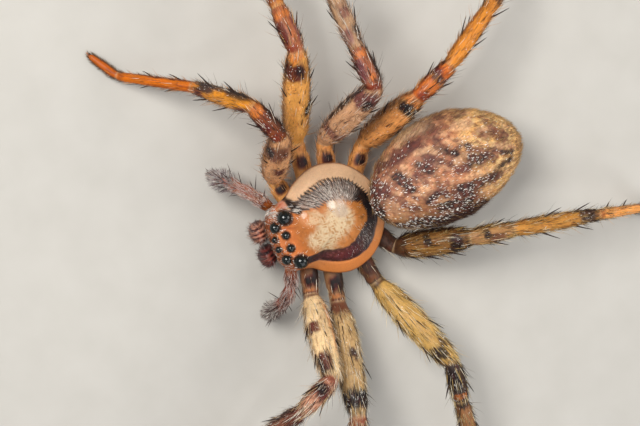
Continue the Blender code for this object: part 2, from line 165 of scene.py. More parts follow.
class Skin:  # the arrays of one skin, which its coat grows from
    def __init__(self, verts, tris, uv, lie, extra):
        self.verts, self.tris, self.uv, self.lie, self.extra = verts, tris, uv, lie, extra
        self.normals = vertexNormals(verts, tris)
        if ((verts - verts.mean(0)) * self.normals).sum(1).mean() < 0:  # turned so that it faces outward
            self.tris = tris[:, [0, 2, 1]]
            self.normals = -self.normals
        self.colours = None

    def pick(self, count, weight, seed):  # random roots, denser where the weight is greater
        draw = np.random.default_rng(seed)
        a, b, c = (self.verts[self.tris[:, k]] for k in range(3))
        area = np.linalg.norm(np.cross(b - a, c - a), axis=1)
        share = np.cumsum(area * np.maximum(weight[self.tris].mean(1), 0))
        found = np.searchsorted(share, draw.random(count) * share[-1])
        found = np.minimum(found, len(self.tris) - 1)
        u, v = draw.random(count), draw.random(count)
        over = u + v > 1
        u[over], v[over] = 1 - u[over], 1 - v[over]
        mix = np.stack([1 - u - v, u, v], 1)
        tri = self.tris[found]

        def blendOf(values):
            return (values[tri] * (mix[..., None] if values.ndim > 1 else mix)).sum(1)

        roots = {"spot": blendOf(self.verts), "normal": unit(blendOf(self.normals)),
                 "lie": blendOf(self.lie), "uv": self.uv[tri[:, 0]], "colour": blendOf(self.colours)}
        for key, values in self.extra.items():
            roots[key] = blendOf(values)
        return roots


hairShape = {
    "taper": 0.55, "sink": 0.03, "lengths": (0.75, 1.2), "riseSpread": 5, "droopAhead": 0.5, "floorGap": 0.004,
    "corners": ((-0.5, -0.3), (0.5, -0.3), (0, 0.5)),  # of the hair's three sides, across and up
    "mapCorners": ((-0.0014, 0), (0.0014, 0), (0, 0.0008)), "mapHalf": 0.0014,  # its small patch on the map
}


def hairArrays(roots, length, width, lift, droop, rootColour, tipColour, seed, bends=2, spread=14):
    # thin solid hairs of three sides that taper to a point
    count, sink, mapHalf = len(roots["spot"]), hairShape["sink"], hairShape["mapHalf"]
    draw = np.random.default_rng(seed)
    rootColour, tipColour = (np.broadcast_to(colour, (count, 3)) for colour in (rootColour, tipColour))
    normal = roots["normal"]
    lie = unit(roots["lie"] - normal * (roots["lie"] * normal).sum(1, keepdims=True))
    side = unit(np.cross(normal, lie))
    turn = np.radians(draw.normal(0, spread, count))[:, None]
    lie = lie * np.cos(turn) + side * np.sin(turn)
    side = unit(np.cross(normal, lie))
    rise = np.radians(np.asarray(lift) + draw.normal(0, hairShape["riseSpread"], count))[:, None]
    way = lie * np.cos(rise) + normal * np.sin(rise)
    up = unit(np.cross(way, side))
    length = (np.asarray(length) * draw.uniform(*hairShape["lengths"], count))[:, None]
    sag = (lie * hairShape["droopAhead"] - normal) * length * droop
    base = roots["spot"] - normal * sink
    rows, tints, uvRows = [], [], []
    for i in range(bends):
        share = i / bends
        middle = base + way * (length * share + sink * share) + sag * share ** 2
        for (across, high), patch in zip(hairShape["corners"], hairShape["mapCorners"]):
            rows.append(middle + (side * across + up * high) * width * (1 - hairShape["taper"] * share))
            tints.append(rootColour * (1 - share) + tipColour * share)
            uvRows.append(roots["uv"] + patch + (0, 2 * mapHalf * share - mapHalf))
    rows.append(base + way * (length + sink) + sag)
    tints.append(tipColour)
    uvRows.append(roots["uv"] + (0, mapHalf))
    verts = np.stack(rows, 1)
    verts[..., 2] = np.maximum(verts[..., 2], hairShape["floorGap"])
    tris = [(0, 2, 1)]
    for i in range(bends - 1):
        for k in range(3):
            a, b = 3 * i + k, 3 * i + (k + 1) % 3
            tris += [(a, b, b + 3), (a, b + 3, a + 3)]
    tris += [(3 * (bends - 1) + k, 3 * (bends - 1) + (k + 1) % 3, 3 * bends) for k in range(3)]
    tris = np.array(tris)[None] + (np.arange(count) * len(rows))[:, None, None]
    return (verts.reshape(-1, 3), tris.reshape(-1, 3), np.stack(tints, 1).reshape(-1, 3),
            np.stack(uvRows, 1).reshape(-1, 2))


class Coat:  # gathers hairs, and sets them down as one mesh
    def __init__(self):
        self.parts = []

    def add(self, *arrays):
        self.parts.append(arrays)

    def lay(self, name, material):
        starts = np.cumsum([0] + [len(part[0]) for part in self.parts])
        verts, tints, uvs = (np.vstack([part[k] for part in self.parts]) for k in (0, 2, 3))
        tris = np.vstack([part[1] + start for part, start in zip(self.parts, starts)])
        piece = putMesh(name, verts, tris, tints, uvs)
        piece.data.materials.append(material)
        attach(piece, "root")
        print(name, "hair faces", len(tris))


def laySkin(name, skin, material, slot, *nodes):
    piece = putMesh(name, skin.verts, skin.tris, skin.colours)
    piece.data.materials.append(material)
    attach(piece, "root")
    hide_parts(*nodes)
    print(name, "faces", len(skin.tris))


# finishes

def setInputs(node, values):
    for word, value in values.items():
        node.inputs[word].default_value = value


def newMaterial(name):
    material = bpy.data.materials.new(name)
    material.use_nodes = True
    nodes, links = material.node_tree.nodes, material.node_tree.links
    return material, nodes, links, nodes["Principled BSDF"]


def noiseOver(nodes, links, scale, detail=2):  # noise that stays with the object
    place = nodes.new("ShaderNodeTexCoord")
    noise = nodes.new("ShaderNodeTexNoise")
    setInputs(noise, {"Scale": scale, "Detail": detail})
    links.new(place.outputs["Object"], noise.inputs["Vector"])
    return noise, place


def clouded(name, scale, low, high, settings):  # two colours in soft clouds
    material, nodes, links, shader = newMaterial(name)
    cloud = noiseOver(nodes, links, scale)[0]
    ramp = nodes.new("ShaderNodeValToRGB")
    for element, colour in zip(ramp.color_ramp.elements, (low, high)):
        element.color = (*colour, 1)
    links.new(cloud.outputs["Fac"], ramp.inputs["Fac"])
    links.new(ramp.outputs["Color"], shader.inputs["Base Color"])
    setInputs(shader, settings)
    return material


def tintWithGrain(nodes, links, shader, grain, low, high):
    # the painted tint, made darker to low and lighter to high by the grain
    tint = nodes.new("ShaderNodeAttribute")
    tint.attribute_name = "tint"
    shade = nodes.new("ShaderNodeMapRange")
    setInputs(shade, {"From Min": 0.3, "From Max": 0.7, "To Min": low, "To Max": high})
    links.new(grain.outputs["Fac"], shade.inputs["Value"])
    mixed = nodes.new("ShaderNodeVectorMath")
    mixed.operation = "MULTIPLY"
    links.new(tint.outputs["Color"], mixed.inputs[0])
    links.new(shade.outputs["Result"], mixed.inputs[1])
    links.new(mixed.outputs["Vector"], shader.inputs["Base Color"])


def cuticle(name, look):
    material, nodes, links, shader = newMaterial(name)
    grain, place = noiseOver(nodes, links, look["grainScale"], 5)
    tintWithGrain(nodes, links, shader, grain, 1 - look["grainDepth"], 1 + look["grainDepth"] * 0.6)
    pores = nodes.new("ShaderNodeTexVoronoi")
    setInputs(pores, {"Scale": look["poreScale"]})
    links.new(place.outputs["Object"], pores.inputs["Vector"])
    height = nodes.new("ShaderNodeMath")
    height.operation = "ADD"
    links.new(grain.outputs["Fac"], height.inputs[0])
    links.new(pores.outputs["Distance"], height.inputs[1])
    bump = nodes.new("ShaderNodeBump")
    setInputs(bump, {"Strength": look["bump"], "Distance": look["bumpDistance"]})
    links.new(height.outputs["Value"], bump.inputs["Height"])
    links.new(bump.outputs["Normal"], shader.inputs["Normal"])
    rough = nodes.new("ShaderNodeMapRange")
    setInputs(rough, {"To Min": look["roughness"] - 0.08, "To Max": look["roughness"] + 0.1})
    links.new(grain.outputs["Fac"], rough.inputs["Value"])
    links.new(rough.outputs["Result"], shader.inputs["Roughness"])
    setInputs(shader, {"Coat Weight": look["coat"], "Coat Roughness": look["coatRoughness"],
                       "Subsurface Weight": look["glow"], "Subsurface Radius": (1.0, 0.45, 0.2),
                       "Subsurface Scale": 0.00025, "Specular IOR Level": look["specular"]})
    return material


def bristle(name, look):
    material, nodes, links, shader = newMaterial(name)
    grain = noiseOver(nodes, links, look["grainScale"])[0]
    tintWithGrain(nodes, links, shader, grain, *look["shade"])
    setInputs(shader, {"Roughness": look["roughness"], "Specular IOR Level": look["specular"]})
    return material


finishLooks = {
    "brim": {"grainScale": 14000, "grainDepth": 0.10, "poreScale": 16000, "bump": 0.25, "bumpDistance": 0.00001,
             "roughness": 0.55, "coat": 0, "coatRoughness": 0.2, "glow": 0.10, "specular": 0.28},
    "abdomen": {"grainScale": 16000, "grainDepth": 0.22, "poreScale": 9000, "bump": 0.5, "bumpDistance": 0.00002,
                "roughness": 0.58, "coat": 0, "coatRoughness": 0.2, "glow": 0.08, "specular": 0.25},
    "leg": {"grainScale": 15000, "grainDepth": 0.16, "poreScale": 12000, "bump": 0.35, "bumpDistance": 0.00001,
            "roughness": 0.47, "coat": 0.02, "coatRoughness": 0.3, "glow": 0.08, "specular": 0.26},
    "dark": {"grainScale": 15000, "grainDepth": 0.2, "poreScale": 12000, "bump": 0.35, "bumpDistance": 0.00001,
             "roughness": 0.4, "coat": 0.1, "coatRoughness": 0.2, "glow": 0.04, "specular": 0.35},
}
finish = {word: cuticle(word + "Cuticle", look) for word, look in finishLooks.items()}
hairLook = {"grainScale": 5000, "shade": (0.8, 1.15), "roughness": 0.42, "specular": 0.32}
hairFinish = bristle("hair", hairLook)

# inks that several coats share
black, darkBrown, white = ink(16, 10, 9), ink(74, 40, 28), ink(245, 238, 226)
straw, gold = ink(218, 181, 134), ink(214, 172, 108)


# legs

legSizes = {
    "femur": (4.4, 5.3, 4.9, 3.7), "patella": (1.95, 2.05, 1.85, 1.9),
    "tibia": (4.0, 4.4, 3.5, 4.0), "metatarsus": (3.7, 4.1, 3.3, 4.2),
    "tarsus": (1.5, 1.6, 1.3, 1.45),
    "coxaRoots": ((0.98, -1.42), (1.12, -0.50), (1.12, 0.46), (0.86, 1.34)),
    "coxaHeight": 1.38, "hipHeight": 1.55, "ankleHeight": 0.42, "toeHeight": 0.12,
    "ringStep": 0.065, "sides": 36, "bendLength": 0.34, "bendSteps": 10, "flatness": 0.97,
}
legHips = {
    "right_1": (2.56, -1.72), "right_2": (3.70, -0.22), "right_3": (3.27, 0.92),
    "right_4": (2.50, 2.48), "left_1": (2.95, -2.00), "left_2": (3.70, -0.98),
    "left_3": (3.50, 0.90), "left_4": (2.38, 2.22),
}
legPose = {  # turn from straight ahead and rise of femur, patella and tibia, then the turn of the foot
    "right_1": ((104, 58), (68, 18), (33, -59), 26),
    "right_2": ((104, 37), (90, -23), (90, -22), 88),
    "right_3": ((140, 51), (86, -8), (92, -34), 98),
    "right_4": ((151, 37), (156, 4), (149, -12), 150),
    "left_1": ((77, 46), (18, 22), (30, -44), 26),
    "left_2": ((74, 34), (72, -14), (70, -30), 66),
    "left_3": ((112, 22), (84, -6), (88, -18), 92),
    "left_4": ((174, 36), (169, 2), (166, -7), 154),
}
toeTurns = {"right_1": 58}
# widths in mm at places along the leg: 0-1 coxa, 1-2 femur, 2-3 patella, 3-4 tibia, 4-5 metatarsus, 5-6 tarsus
legWidths = {
    "place": (0.0, 0.25, 0.60, 0.74, 0.79, 0.90, 0.98, 1.03, 1.14, 1.34, 1.62, 1.86, 1.95, 2.0, 2.06,
              2.22, 2.50, 2.78, 2.94, 3.0, 3.05, 3.14, 3.35, 3.65, 3.88, 3.96, 4.0, 4.03, 4.12, 4.5,
              4.88, 4.96, 5.0, 5.05, 5.2, 5.55, 5.85, 5.97, 6.0),
    "width": (0.56, 0.76, 0.82, 0.78, 0.66, 0.74, 0.62, 0.70, 1.03, 1.18, 1.17, 1.01, 0.84, 0.66,
              0.74, 0.82, 0.84, 0.79, 0.70, 0.58, 0.66, 0.76, 0.78, 0.73, 0.63, 0.56, 0.47, 0.50,
              0.52, 0.47, 0.43, 0.38, 0.31, 0.34, 0.38, 0.36, 0.29, 0.20, 0.06),
    "thinner": {"right_4": 0.95, "left_4": 0.94, "left_3": 0.96, "right_1": 0.95},
}


def heading(turn, rise, side):
    turn, rise = math.radians(turn), math.radians(rise)
    flat = math.cos(rise)
    return np.array((side * math.sin(turn) * flat, -math.cos(turn) * flat, math.sin(rise)))


def legJoints(key):
    word, number = key.split("_")
    side = -1 if word == "right" else 1
    pair = int(number) - 1
    rootX, rootY = legSizes["coxaRoots"][pair]
    hipX, hipY = legHips[key]
    joints = [np.array((side * rootX, rootY, legSizes["coxaHeight"])),
              np.array((side * hipX, hipY, legSizes["hipHeight"]))]
    for (turn, rise), part in zip(legPose[key][:3], ("femur", "patella", "tibia")):
        joints.append(joints[-1] + heading(turn, rise, side) * legSizes[part][pair])
    for part, height in (("metatarsus", "ankleHeight"), ("tarsus", "toeHeight")):
        size = legSizes[part][pair]
        drop = math.degrees(math.asin((legSizes[height] - joints[-1][2]) / size))
        turn = toeTurns.get(key, legPose[key][3]) if part == "tarsus" else legPose[key][3]
        joints.append(joints[-1] + heading(turn, drop, side) * size)
    return joints


def roundedLine(joints, bend, step):
    # points along the leg with its corners eased, and the place 0-6 of each
    spots, places = [joints[0]], [0.0]
    last = len(joints) - 2
    for i in range(len(joints) - 1):
        a, b = joints[i], joints[i + 1]
        size = np.linalg.norm(b - a)
        way = (b - a) / size
        start = bend if i else 0.0
        end = size - bend if i < last else size
        count = max(2, int((end - start) / step))
        for n in range(1, count + 1):
            run = start + (end - start) * n / count
            spots.append(a + way * run)
            places.append(i + run / size)
        if i < last:
            c = joints[i + 2]
            nextSize = np.linalg.norm(c - b)
            p0, p2 = b - way * bend, b + (c - b) / nextSize * bend
            for n in range(1, legSizes["bendSteps"] + 1):
                u = n / legSizes["bendSteps"]
                spots.append(p0 * (1 - u) ** 2 + b * 2 * u * (1 - u) + p2 * u * u)
                places.append(i + 1 - bend / size * (1 - 2 * u) if u <= 0.5
                              else i + 1 + bend / nextSize * (2 * u - 1))
    return np.array(spots), np.array(places)


def tubeOf(line, wide, tall, sides, floor=None):  # rings of points round the line
    along = unit(np.gradient(line, axis=0))
    across = np.cross(along, (0, 0, 1.0))
    across[np.linalg.norm(across, axis=1) < 0.05] = (1, 0, 0)
    across = unit(across)
    upward = np.cross(across, along)
    angle = 2 * math.pi * np.arange(sides) / sides
    rings = (line[:, None] + across[:, None] * (np.sin(angle)[None, :, None] * wide[:, None, None] / 2)
             + upward[:, None] * (np.cos(angle)[None, :, None] * tall[:, None, None] / 2))
    if floor is not None:
        rings[..., 2] = np.maximum(rings[..., 2], floor)
    return rings, along, angle


def mapSpot(along, around):  # place on the unwrapped leg, both shares 0-1
    return np.stack([0.03 + 0.94 * along, 0.06 + 0.88 * around], -1)


def legSkin(key, joints):
    line, place = roundedLine(joints, legSizes["bendLength"], legSizes["ringStep"])
    wide = softened(np.interp(place, legWidths["place"], legWidths["width"]))
    wide = wide * (1 + (legWidths["thinner"].get(key, 1.0) - 1) * ease(place, 1.8, 2.6))
    sides = legSizes["sides"]
    rings, along, angle = tubeOf(line, wide, wide * legSizes["flatness"], sides, 0.0)
    turn = np.r_[np.tile(signedTurn(angle), len(line)), 0, 0]
    places = np.repeat(place, sides)
    verts, tris = tubeSkin(rings)
    uv = mapSpot(places / 6, np.tile(angle, len(line)) / 2 / math.pi)
    uv = np.vstack([uv, uv[0], uv[-1]])
    lie = np.vstack([np.repeat(along, sides, axis=0), along[0], along[-1]])
    extra = {"place": np.r_[places, 0.0, 6.0], "turn": turn, "lift": np.cos(turn)}
    return Skin(verts, tris, uv, lie, extra)


# ground colour of each length of each leg, from coxa to tarsus
legGround = {
    "right_1": ((206, 146, 84), (214, 158, 110), (122, 58, 24), (204, 130, 26), (196, 100, 6), (172, 82, 10)),
    "right_2": ((208, 146, 84), (220, 156, 78), (160, 92, 56), (192, 120, 52), (194, 104, 28), (164, 84, 16)),
    "right_3": ((208, 144, 82), (200, 152, 112), (150, 84, 54), (178, 140, 106), (190, 120, 54), (164, 88, 28)),
    "right_4": ((204, 138, 76), (212, 144, 80), (186, 92, 30), (206, 128, 40), (198, 114, 34), (164, 84, 20)),
    "left_1": ((132, 88, 58), (226, 194, 146), (190, 134, 106), (146, 92, 68), (176, 104, 50), (156, 84, 30)),
    "left_2": ((134, 94, 62), (184, 150, 102), (168, 120, 86), (166, 114, 68), (182, 110, 48), (158, 86, 28)),
    "left_3": ((128, 86, 56), (188, 148, 82), (60, 44, 38), (140, 94, 56), (180, 112, 48), (156, 84, 28)),
    # left_4: coxa and femur are set darker, in part painted shadow of the abdomen over the leg
    "left_4": ((86, 48, 32), (130, 88, 42), (160, 116, 70), (180, 122, 50), (250, 166, 82), (184, 104, 40)),
}
# marks: place along the leg, half width, turn from the top or None for a ring, half width of the turn, strength
# and colour
legMarks = {
    "all": ((0.66, 0.13, 0.0, 0.80, 0.9, "maroon"), (0.66, 0.09, 0.1, 0.60, 1.0, "black"),
            (0.88, 0.05, 0.3, 0.6, 0.35, "orange"), (4.93, 0.04, None, 0, 0.4, "maroon")),
    "right_1": ((1.42, 0.07, 0.1, 0.5, 0.95, "maroon"), (1.80, 0.13, -0.3, 1.2, 0.85, "maroon"),
                (1.80, 0.06, -1.0, 0.5, 0.95, "black"), (2.14, 0.10, -0.6, 0.8, 0.8, "red"),
                (2.50, 0.17, -0.9, 0.75, 0.95, "maroon"), (2.45, 0.40, 1.1, 0.7, 0.8, "darkBrown"),
                (2.90, 0.08, -0.3, 1.2, 0.8, "orange"), (3.10, 0.10, -1.2, 0.6, 0.9, "maroon"),
                (3.20, 0.18, 0.9, 0.6, 0.85, "black"), (3.50, 0.46, 1.2, 0.5, 0.85, "darkBrown"),
                (3.72, 0.14, 0.6, 0.8, 0.95, "soot"), (3.84, 0.10, -0.9, 0.9, 0.95, "maroon"),
                (3.97, 0.05, None, 0, 0.7, "orange"), (4.35, 0.30, 1.3, 0.45, 0.6, "maroon")),
    "right_2": ((1.84, 0.09, -0.5, 1.2, 0.95, "maroon"), (1.85, 0.045, 0.1, 0.35, 1.0, "black"),
                (1.97, 0.03, -0.3, 1.1, 0.8, "orange"), (1.42, 0.06, 0.85, 0.45, 1.0, "black"),
                (1.60, 0.32, 1.45, 0.30, 0.9, "black"), (2.08, 0.06, -0.6, 0.7, 0.8, "red"),
                (2.40, 0.25, -0.8, 0.55, 0.9, "maroon"), (2.45, 0.35, 1.0, 0.5, 0.75, "purple"),
                (2.80, 0.08, 0.0, 1.2, 0.6, "orange"), (3.10, 0.06, None, 0, 0.8, "maroon")),
    "right_3": ((1.27, 0.06, -0.2, 1.5, 0.75, "purple"), (1.87, 0.10, -0.3, 2.0, 0.9, "purple"),
                (1.84, 0.06, 0.35, 0.5, 1.0, "black"), (1.60, 0.3, -1.4, 0.3, 0.8, "black"),
                (2.06, 0.05, None, 0, 0.9, "red"), (2.26, 0.07, -0.2, 0.6, 0.6, "orange"),
                (2.50, 0.30, -0.7, 0.45, 0.95, "purple"), (2.50, 0.42, 1.1, 0.45, 0.9, "darkBrown"),
                (2.84, 0.07, 0.0, 1.2, 0.6, "orange"), (3.14, 0.10, -0.7, 0.7, 0.8, "purple"),
                (3.14, 0.11, 0.8, 0.5, 0.8, "soot"), (3.45, 0.08, 0.2, 0.6, 0.7, "purple")),
    "right_4": ((1.85, 0.08, 0.2, 1.2, 1.0, "black"), (1.96, 0.03, None, 0, 0.7, "orange"),
                (1.78, 0.14, 1.2, 0.35, 0.9, "black"), (1.40, 0.40, -1.1, 0.5, 0.4, "soot"),
                (2.12, 0.10, 0.6, 1.0, 0.85, "red"), (2.36, 0.10, 0.0, 1.0, 0.5, "orange"),
                (2.62, 0.10, 0.2, 1.5, 0.9, "soot"), (2.74, 0.07, -0.9, 0.8, 0.9, "maroon"),
                (2.94, 0.05, None, 0, 0.6, "orange"), (3.90, 0.06, None, 0, 0.85, "darkBrown")),
    "left_1": ((0.55, 0.25, -0.9, 0.7, 0.9, "black"), (1.00, 0.05, None, 0, 0.8, "maroon"),
               (1.44, 0.06, 0.6, 0.5, 0.95, "maroon"), (1.40, 0.35, -0.9, 0.22, 0.55, "orange"),
               (1.84, 0.10, 0.45, 0.7, 0.95, "maroon"), (1.86, 0.10, 0.9, 0.3, 0.9, "black"),
               (2.10, 0.08, None, 0, 0.7, "red"), (2.42, 0.18, 0.1, 1.2, 0.95, "maroon"),
               (2.40, 0.12, 0.6, 0.7, 0.95, "black"), (3.12, 0.12, None, 0, 0.7, "maroon")),
    "left_2": ((1.04, 0.09, None, 0, 0.85, "maroon"), (1.50, 0.05, -0.3, 0.45, 0.95, "soot"),
               (1.88, 0.08, None, 0, 1.0, "black"), (2.12, 0.07, None, 0, 0.7, "red"),
               (2.45, 0.24, 0.3, 1.0, 0.8, "darkBrown"), (0.66, 0.20, -0.9, 0.9, 0.9, "black")),
    "left_3": ((1.00, 0.05, None, 0, 0.9, "darkBrown"), (1.86, 0.07, 0.6, 1.1, 0.95, "black"),
               (1.80, 0.06, -0.9, 0.5, 0.8, "soot"), (2.40, 0.30, 0.4, 0.7, 1.0, "black"),
               (2.40, 0.30, -0.9, 0.5, 0.8, "darkBrown"), (2.84, 0.07, 0.0, 1.1, 0.55, "orange"),
               (3.02, 0.05, None, 0, 0.95, "black"), (0.75, 0.2, None, 0, 0.7, "darkBrown")),
    # left_4: the dark brown rings over the coxa and the femur base are painted shadow of the abdomen
    "left_4": ((0.80, 0.3, None, 0, 0.9, "darkBrown"), (1.12, 0.10, None, 0, 0.7, "darkBrown"),
               (1.50, 0.06, -0.5, 0.5, 0.95, "black"), (1.85, 0.08, 0.3, 1.1, 0.95, "black"),
               (2.35, 0.08, -0.2, 0.6, 0.95, "black"), (2.60, 0.16, 0.6, 0.8, 0.7, "maroon"),
               (3.86, 0.09, None, 0, 0.9, "soot"), (4.05, 0.03, None, 0, 0.6, "red")),
}
markInk = {"maroon": ink(84, 26, 24), "darkBrown": ink(62, 38, 26), "black": ink(26, 17, 17),
           "purple": ink(106, 54, 58), "red": ink(114, 37, 18), "orange": ink(210, 120, 50),
           "soot": ink(50, 36, 36)}


def alongStreaks(place, turn, run, across, seed):  # soft streaks 0-1 that run down the leg, sizes in mm
    spots = np.stack([place * 4 / run, np.cos(turn) * 0.5 / across, np.sin(turn) * 0.5 / across], 1)
    return lumps(spots, 1, seed)


def legColours(key, place, turn, spots):
    ground = np.array([ink(*colour) for colour in legGround[key]])
    colours = ground[np.clip(np.floor(place).astype(int), 0, 5)]
    fine = alongStreaks(place, turn, 0.8, 0.07, 15)
    broad = alongStreaks(place, turn, 1.6, 0.16, 19)
    colours = colours * (0.54 + 0.40 * mottle(spots, 0.5, 5) + 0.34 * fine + 0.20 * broad)[:, None]
    hairy = ease(place, 1.9, 2.2)
    colours = blend(colours, colours * (0.50, 0.40, 0.36), ease(broad, 0.62, 0.80) * (0.25 + 0.5 * hairy))
    pale = hump(np.abs(place - np.round(place)), 0.0, 0.018) * (place > 0.5) * (place < 5.5)
    ragged = (mottle(spots, 0.32, 11) - 0.5) * 0.10 + (fine - 0.5) * 0.05
    for centre, wide, aim, fan, strength, word in legMarks["all"] + legMarks[key]:
        near = np.abs(place + ragged * 0.8 - centre) / wide
        if aim is not None:
            away = np.abs(wrapped(turn - aim))
            near = (near ** 3 + (np.abs(away + ragged * 3) / fan) ** 3) ** (1 / 3)
        near = 1 - ease(near, 0.70, 1.30)
        colours = blend(colours, markInk[word] * (0.8 + 0.4 * fine)[:, None], near * strength)
    colours = blend(colours, straw * 0.8, pale * 0.4)
    speck = ease(mottle(spots, 0.16, 23), 0.58, 0.68) * (place < 4.2)
    colours = blend(colours, markInk["maroon"], speck * 0.32)
    # painted shade: the sides of the leg, turned away from the top, are darkened as if turned from the light
    edge = ease(np.abs(np.sin(turn)) + (fine - 0.5) * 0.16, 0.78, 0.98) * (place > 1.05)
    return blend(colours, colours * (0.30, 0.22, 0.20), edge * 0.80)


legCoat = {  # for one leg: how many hairs, length and width in mm, lift, bends, droop and spread
    "lying": (4200, 0.46, 0.020, 6, 2, 0.10, 8),
    "fine": (900, 0.42, 0.014, 30, 2, 0.12, 20),
    "long": (70, 0.80, 0.015, 44, 3, 0.10, 18),
    "strand": (620, 0.80, 0.026, 5, 3, 0.0, 6),
    "glint": (150, 0.09, 0.060, 20, 1, 0.0, 25),
    "sole": (700, 0.20, 0.020, 35, 1, 0.0, 20),
}
# share of dark hairs, how far the hairs hide the skin, and two pale tones
legHairTone = {
    "right_1": (0.30, 0.20, ink(230, 205, 170), ink(214, 150, 76)),
    "right_2": (0.25, 0.22, ink(236, 214, 176), ink(222, 170, 98)),
    "right_3": (0.26, 0.34, ink(236, 222, 204), ink(196, 154, 116)),
    "right_4": (0.34, 0.25, ink(232, 206, 160), ink(218, 156, 84)),
    "left_1": (0.30, 0.55, ink(238, 224, 196), ink(206, 172, 126)),
    "left_2": (0.34, 0.55, ink(240, 228, 196), ink(216, 182, 124)),
    "left_3": (0.34, 0.58, ink(240, 222, 172), ink(222, 184, 108)),
    "left_4": (0.46, 0.45, ink(214, 190, 130), ink(190, 150, 80)),
}
legSpines = {  # share of the length, turn from the top, and length in mm
    "femur": ((0.26, 8, 0.72), (0.52, -6, 0.88), (0.78, 10, 0.80), (0.40, 62, 0.84), (0.72, 66, 0.78),
              (0.58, -64, 0.84)),
    "patella": ((0.50, 78, 0.60), (0.52, -80, 0.60), (0.30, 0, 0.80)),
    "tibia": ((0.30, 74, 0.80), (0.70, 70, 0.74), (0.34, -72, 0.80), (0.72, -74, 0.74),
              (0.42, 152, 0.78), (0.46, -152, 0.78)),
    "foot": ((0.20, 118, 0.62), (0.55, 122, 0.58), (0.22, -120, 0.62), (0.57, -118, 0.58)),
    "width": 0.075, "lean": 66, "ridge": 0.65, "colours": (ink(54, 30, 20), ink(20, 12, 10)),
    "tight": {"left_1": (0, 1, 0), "left_2": (0, -1, 0), "left_4": (-1, 0, 0), "right_4": (1, 0, 0)},
    "tightShare": 0.5, "tightLean": 76,  # for the spines of those femora that face a neighbour
}
spineShape = {
    "along": (0, 0.04, 0.3, 0.6, 0.85), "size": (1.25, 1.0, 0.85, 0.66, 0.42), "curve": 0.14, "root": 0.08,
}


def spineArrays(base, outward, along, length, lean, width, colour, tip, uv):
    # one curved spine of five sides, standing in the same place as the solid's
    lean, mapHalf = math.radians(lean), hairShape["mapHalf"]
    way = outward * math.cos(lean) + along * math.sin(lean)
    side = unit(np.cross(way, along))
    up = unit(np.cross(way, side))
    rows, tints, uvs = [], [], []
    for i, (share, size) in enumerate(zip(spineShape["along"], spineShape["size"])):
        middle = base + way * length * share + along * length * spineShape["curve"] * share ** 2
        if i == 0:
            middle = base - outward * spineShape["root"]
        for k in range(5):
            turn = 2 * math.pi * k / 5
            rows.append(middle + (side * math.cos(turn) + up * math.sin(turn)) * width * size / 2)
            tints.append(colour * (1 - share) + tip * share)
            uvs.append(uv + (mapHalf * math.cos(turn), 2 * mapHalf * share - mapHalf))
    rows.append(base + way * length + along * length * spineShape["curve"])
    tints.append(tip)
    uvs.append(uv + (0, mapHalf))
    tris = [(0, k + 1, k) for k in range(1, 4)]
    for i in range(4):
        for k in range(5):
            a, b = 5 * i + k, 5 * i + (k + 1) % 5
            tris += [(a, b, b + 5), (a, b + 5, a + 5)]
    tris += [(20 + k, 20 + (k + 1) % 5, 25) for k in range(5)]
    return np.array(rows), np.array(tris), np.array(tints), np.array(uvs)


def growSpines(coat, key, joints):
    order = list(legPose).index(key)
    thin = legWidths["thinner"].get(key, 1.0)
    for i, word in enumerate(("femur", "patella", "tibia", "foot"), 1):
        start, end = Vector(joints[i]), Vector(joints[i + 1])
        # the solids' spines were placed with the same draws
        seed = 900 + order if word == "foot" else 10 * len(word + "_" + key) + 100 * i + order
        draw = random.Random(seed)
        along = (end - start).normalized()
        across = along.cross(Vector((0, 0, 1))).normalized()
        upward = across.cross(along)
        for share, turn, length in legSpines[word]:
            ridge = legSpines["ridge"] if abs(turn) < 15 else 1.0
            turn = math.radians(turn + draw.uniform(-7, 7))
            outward = across * math.sin(turn) + upward * math.cos(turn)
            place = share + draw.uniform(-0.02, 0.02)
            length *= draw.uniform(0.9, 1.08)
            lean = legSpines["lean"] + draw.uniform(-8, 8)
            tight = legSpines["tight"].get(key) if word == "femur" else None
            if tight and outward.dot(Vector(tight)) > 0.25:
                length, lean = length * legSpines["tightShare"], legSpines["tightLean"]
            half = np.interp(i + place, legWidths["place"], legWidths["width"]) / 2
            half *= 1 + (thin - 1) * float(ease(np.array(i + place), 1.8, 2.6))
            base = start.lerp(end, place) + outward * half * 0.96
            coat.add(*spineArrays(np.array(base), np.array(outward), np.array(along), length * ridge, lean,
                                  legSpines["width"] * ridge, *legSpines["colours"],
                                  mapSpot((i + place) / 6, (turn / 2 / math.pi) % 1)))


